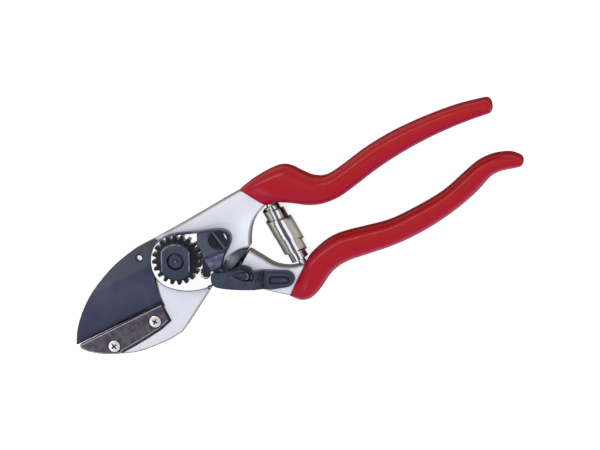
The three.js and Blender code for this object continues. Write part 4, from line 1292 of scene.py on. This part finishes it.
class BuildCatch(bpy.types.Operator):
    """Make the sliding catch, its ribbed thumb pad and the screw that guides it"""

    bl_idname = "shears.catch"
    bl_label = "Catch"

    def execute(self, context):
        body = carved(copy_of("catch_slide"), catch_slab(RECESS, RECESS_FLOOR, OVER_CATCH),
                      catch_slab(EAR_GROOVE, EAR_FLOOR, OVER_CATCH))
        across = Vector((-CATCH_ALONG.y, CATCH_ALONG.x, 0))
        ear = Vector((*catch_point(0, EAR_FROM), 0))
        split(body, ear * MM, across)
        body.normal_update()
        # painted shade on the recess floor and on the ear
        mark(body, 1, lambda centre, normal: lies_flat(normal)
             and RECESS_FLOOR - 0.1 < centre.z < EAR_FLOOR + 0.1)
        mark(body, 1, lambda centre, normal: leans_forward(normal)
             and (centre - ear).dot(across) > 0)
        piece(body, "catch_slide_body", "catch",
              [catch_plastic(), catch_groove_shade()], ["catch_slide"], edge=sizes().catch_edge,
              angle=32)
        track = carved(catch_slab(PAD_TRACK, TRACK_FLOOR, OVER_PAD),
                       catch_slab(PAD_ISLAND, TRACK_FLOOR - 0.75, OVER_PAD + 1))
        pad = carved(catch_slab(PAD_BORDER, PAD_BACK, PAD_FRONT), track)
        pad.normal_update()
        # painted shade in the pad's track
        mark(pad, 1, lambda centre, normal: lies_flat(normal) and centre.z < PAD_FRONT - 0.35)
        piece(pad, "thumb_pad_ribbed", "catch",
              [catch_plastic(), catch_groove_shade()], ["catch_thumb_pad"], edge=0.2 * MM, segments=2)
        refinish("catch_lock_pin", bright_steel())
        lens = catch_slab(LENS, LENS_BACK, LENS_FRONT)
        for rim in inset(lens, front_face(lens), LENS_RIM, LENS_RIM_RISE):
            if rim.calc_center_median().xy.dot(CATCH_ALONG) > CRESCENT_FROM:
                rim.material_index = 1
        stud = carved(lens, turned(STUD_SHANK, STUD_AT, 32), operation="UNION")
        piece(stud, "catch_screw_head", "moving_arm",
              [stud_face(), black_glint()], ["catch_screw"], edge=0.08 * MM, segments=2,
              angle=40)
        return {"FINISHED"}


# its front falls away beyond the line through two places, from a level, this steeply, this far, and is
# painted with shade there
BUMPER_FOLD = ((21.5, -13.7), (29.5, -10.0))
BUMPER_LEVEL, BUMPER_FALL, BUMPER_MOST = 12.2, 0.5, 1.2
BUMPER_TAIL = 17.2            # before it the bumper lies round the hub


class BuildBumper(bpy.types.Operator):
    """Make the rubber bumper between the handles"""

    bl_idname = "shears.bumper"
    bl_label = "Bumper"

    def execute(self, context):
        mesh = copy_of("bumper")
        mesh.normal_update()
        outward = {vert: Vector((vert.normal.x, vert.normal.y, 0)).normalized()
                   for vert in mesh.verts}
        for vert, way in outward.items():
            grown = sizes().bumper_squeeze
            if vert.co.x < BUMPER_TAIL * MM:
                grown = sizes().bumper_tail if way.dot(vert.co) < 0 else sizes().bumper_foot
            vert.co += way * grown
        slope_down(mesh, *BUMPER_FOLD, BUMPER_LEVEL, BUMPER_FALL, BUMPER_MOST)
        mesh.normal_update()
        # painted shade on the part that falls away
        mark(mesh, 1, lambda centre, normal: leans_forward(normal)
             and beyond(centre, *BUMPER_FOLD) > 0)
        piece(mesh, "bumper_moulded", "moving_arm",
              [black_rubber(), rubber_fold_shade()], ["bumper"], edge=0.12 * MM)
        return {"FINISHED"}


# ------------------------------------------------------------------ spring
SPRING_AT = Vector((46.9, -11.5, HANDLE_MIDDLE))
SPRING_LEAN = math.radians(2.5)
# whole length, width of the strip in the middle, and from an end to where the strip's width ends
SPRING_LENGTH, SPRING_MIDDLE, SPRING_END = 26.8, 11.6, 4.6
# radius in the middle and at the ends, and turns of each half
SPRING_OUTER, SPRING_INNER, SPRING_TURNS = 5.4, 2.5, 2.6
SPRING_ROWS = (0.0, 0.45, 0.93, 1.0)    # lines along the strip, as shares of its width
SPRING_GAP = 0.45             # half the gap between the inner borders of its two halves
SPRING_STEPS = 300            # along the strip


def spring_place(share, far):
    """Point of the strip: share runs -1 to 1 along it, far picks its outer border."""
    out, side = abs(share), (1 if share >= 0 else -1)
    turn = share * SPRING_TURNS * 2 * math.pi
    radius = SPRING_OUTER + (SPRING_INNER - SPRING_OUTER) * out
    crossing = 0.5 / SPRING_TURNS
    rest = SPRING_LENGTH / 2 - SPRING_END
    if far:
        climb = min(1, out / (1 - 1 / SPRING_TURNS))
        along = SPRING_MIDDLE / 2 + (SPRING_LENGTH - SPRING_MIDDLE) / 2 * climb
    elif out < crossing:
        along = -SPRING_MIDDLE / 2 + (SPRING_MIDDLE / 2 + SPRING_GAP) * out / crossing
    else:
        along = SPRING_GAP + (rest - SPRING_GAP) * (out - crossing) / (1 - crossing)
    return Vector((radius * math.cos(turn), side * along, radius * math.sin(turn)))


class BuildSpring(bpy.types.Operator):
    """Wind the volute spring from its flat strip, and keep the studs it sits on"""

    bl_idname = "shears.spring"
    bl_label = "Volute Spring"

    def execute(self, context):
        mesh = bmesh.new()
        bmesh.ops.create_grid(mesh, x_segments=SPRING_STEPS, y_segments=len(SPRING_ROWS) - 1,
                              size=1.0)
        lean = Matrix.Rotation(SPRING_LEAN, 3, "Z")
        borders = set()
        for vert in mesh.verts:
            share, wide = vert.co.x, (vert.co.y + 1) / 2
            if share < 0:
                wide = 1 - wide
            wide = SPRING_ROWS[round(wide * (len(SPRING_ROWS) - 1))]
            near, far = spring_place(share, False), spring_place(share, True)
            if wide >= SPRING_ROWS[-2] and far.x > SPRING_INNER * 0.5:
                borders.add(vert)
            vert.co = (SPRING_AT + lean @ near.lerp(far, wide)) * MM
        for face in mesh.faces:
            if all(vert in borders for vert in face.verts):
                face.material_index = 1
        bmesh.ops.recalc_face_normals(mesh, faces=mesh.faces)
        bmesh.ops.solidify(mesh, geom=mesh.faces[:], thickness=sizes().strip)
        mesh.normal_update()
        mark(mesh, 1, lambda centre, normal: abs(normal.y) > 0.8)
        made = piece(mesh, "spring_wound", None,
                     [spring_steel(), spring_border()], ["volute_spring"], angle=40)
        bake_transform(made)
        for stud in ("upper_spring_pin", "lower_spring_pin"):
            refinish(stud, bright_steel())
        return {"FINISHED"}


# ------------------------------------------------------------------ stage
TARGET = Vector((54.063, -11.479, 8.0)) * MM
CAMERA_FAR, CAMERA_LENS = 0.990, 135.0
CAMERA_TILT = math.radians(12.5)
CAMERA_HEADING = math.radians(28.99)
CAMERA_ROLL = math.atan2(0.83, 0.56)
FLOOR_COLOUR = (236, 236, 238)
FLOOR_LIFT = 0.62             # how much whiter the floor looks than the light makes it
WORLD_LIGHT = 0.52            # what the surroundings give the shears; they look plain white


def lamp(name, place, size, power, heading=0.0, shines=True, lights=True):
    """Soft lamp that looks at the object, its long side turned to a heading in degrees."""
    light = bpy.data.lights.new(name, "AREA")
    light.shape, light.energy = "RECTANGLE", power
    light.size, light.size_y = size
    made = bpy.data.objects.new(name, light)
    bpy.context.scene.collection.objects.link(made)
    away = Vector(place).normalized()
    along = Vector((math.cos(math.radians(heading)), math.sin(math.radians(heading)), 0))
    along = (along - away * along.dot(away)).normalized()
    turn = Matrix((along.cross(away), along, away)).transposed().to_4x4()
    made.matrix_world = Matrix.Translation(TARGET + Vector(place)) @ turn
    made.visible_glossy, made.visible_diffuse = shines, lights


def seen(tree):
    """1 for what the camera, a reflection or a glass sees directly."""
    path = put(tree, "ShaderNodeLightPath").outputs
    most = maths(tree, "MAXIMUM", path["Is Camera Ray"], path["Is Glossy Ray"])
    return maths(tree, "MAXIMUM", most, path["Is Transmission Ray"])


class BuildStage(bpy.types.Operator):
    """Set the pale floor, the plain soft light and the camera"""

    bl_idname = "shears.stage"
    bl_label = "Stage"

    def execute(self, context):
        scene = context.scene
        floor = bmesh.new()
        bmesh.ops.create_grid(floor, x_segments=2, y_segments=2, size=1.5)
        data = bpy.data.meshes.new("floor")
        floor.to_mesh(data)
        floor.free()
        made = bpy.data.objects.new("floor", data)
        scene.collection.objects.link(made)
        pale = bpy.data.materials.new("pale_floor")
        pale.use_nodes = True
        tree = pale.node_tree
        shader = tree.nodes["Principled BSDF"]
        shader.inputs["Base Color"].default_value = rgba(screen(*FLOOR_COLOUR))
        shader.inputs["Roughness"].default_value = 0.9
        shader.inputs["Emission Color"].default_value = (1, 1, 1, 1)
        lift = maths(tree, "MULTIPLY", seen(tree), FLOOR_LIFT)
        tree.links.new(lift, shader.inputs["Emission Strength"])
        data.materials.append(pale)

        world = bpy.data.worlds.new("studio")
        scene.world = world
        world.use_nodes = True
        tree = world.node_tree
        back = tree.nodes["Background"]
        back.inputs["Color"].default_value = (1, 1, 1, 1)
        strength = put(tree, "ShaderNodeMapRange", seen(tree), 0.0, 1.0, WORLD_LIGHT,
                       1.0).outputs[0]
        tree.links.new(strength, back.inputs["Strength"])

        lamp("strip", (-0.18, 0.64, 0.6), (0.055, 0.7), 2.7, 0, lights=False)
        lamp("side", (-0.56, -0.09, 0.7), (0.07, 0.5), 0.55, 90, lights=False)
        lamp("key", (0.16, 0.12, 0.85), (0.6, 0.6), 3.1, shines=False)
        lamp("fill", (0.45, -0.65, 0.45), (0.8, 0.5), 0.8, shines=False)

        tilt, heading, roll = CAMERA_TILT, CAMERA_HEADING, CAMERA_ROLL
        toward = Vector((math.cos(heading), math.sin(heading), 0))
        away = FRONT * math.cos(tilt) + toward * math.sin(tilt)
        slope = toward * math.cos(tilt) - FRONT * math.sin(tilt)
        side = slope.cross(away)
        right = slope * math.cos(roll) + side * math.sin(roll)
        up = slope * math.sin(roll) - side * math.cos(roll)
        camera = bpy.data.cameras.new("camera")
        camera.lens, camera.sensor_width = CAMERA_LENS, 36.0
        camera.clip_start, camera.clip_end = 0.05, 10.0
        made = bpy.data.objects.new("camera", camera)
        scene.collection.objects.link(made)
        turn = Matrix((right, up, away)).transposed().to_4x4()
        made.matrix_world = Matrix.Translation(TARGET + away * CAMERA_FAR) @ turn
        scene.camera = made
        scene.view_settings.view_transform = "Standard"
        return {"FINISHED"}


# ------------------------------------------------------------------ sidebar and running
PIECES = (BuildHandles, BuildGrips, BuildBlade, BuildAnvil, BuildPivot, BuildLock, BuildCatch,
          BuildBumper, BuildSpring, BuildStage)


class ShearsPanel(bpy.types.Panel):
    """Sizes, colours and pieces of the shears"""

    bl_idname = "VIEW3D_PT_shears"
    bl_label = "Pruning Shears"
    bl_space_type = "VIEW_3D"
    bl_region_type = "UI"
    bl_category = "Shears"

    def draw(self, context):
        layout = self.layout
        for group in (context.scene.shears_sizes, context.scene.shears_colours):
            column = layout.box().column()
            for name in group.__annotations__:
                column.prop(group, name)
        for operator in PIECES:
            layout.operator(operator.bl_idname)


CLASSES = (ShearsSizes, ShearsColours, *PIECES, ShearsPanel)


def register():
    for one in CLASSES:
        bpy.utils.register_class(one)
    bpy.types.Scene.shears_sizes = bpy.props.PointerProperty(type=ShearsSizes)
    bpy.types.Scene.shears_colours = bpy.props.PointerProperty(type=ShearsColours)


def unregister():
    del bpy.types.Scene.shears_colours
    del bpy.types.Scene.shears_sizes
    for one in reversed(CLASSES):
        bpy.utils.unregister_class(one)


def main():
    register()
    for operator in PIECES:
        group, name = operator.bl_idname.split(".")
        getattr(getattr(bpy.ops, group), name)()


if __name__ == "__main__":
    main()
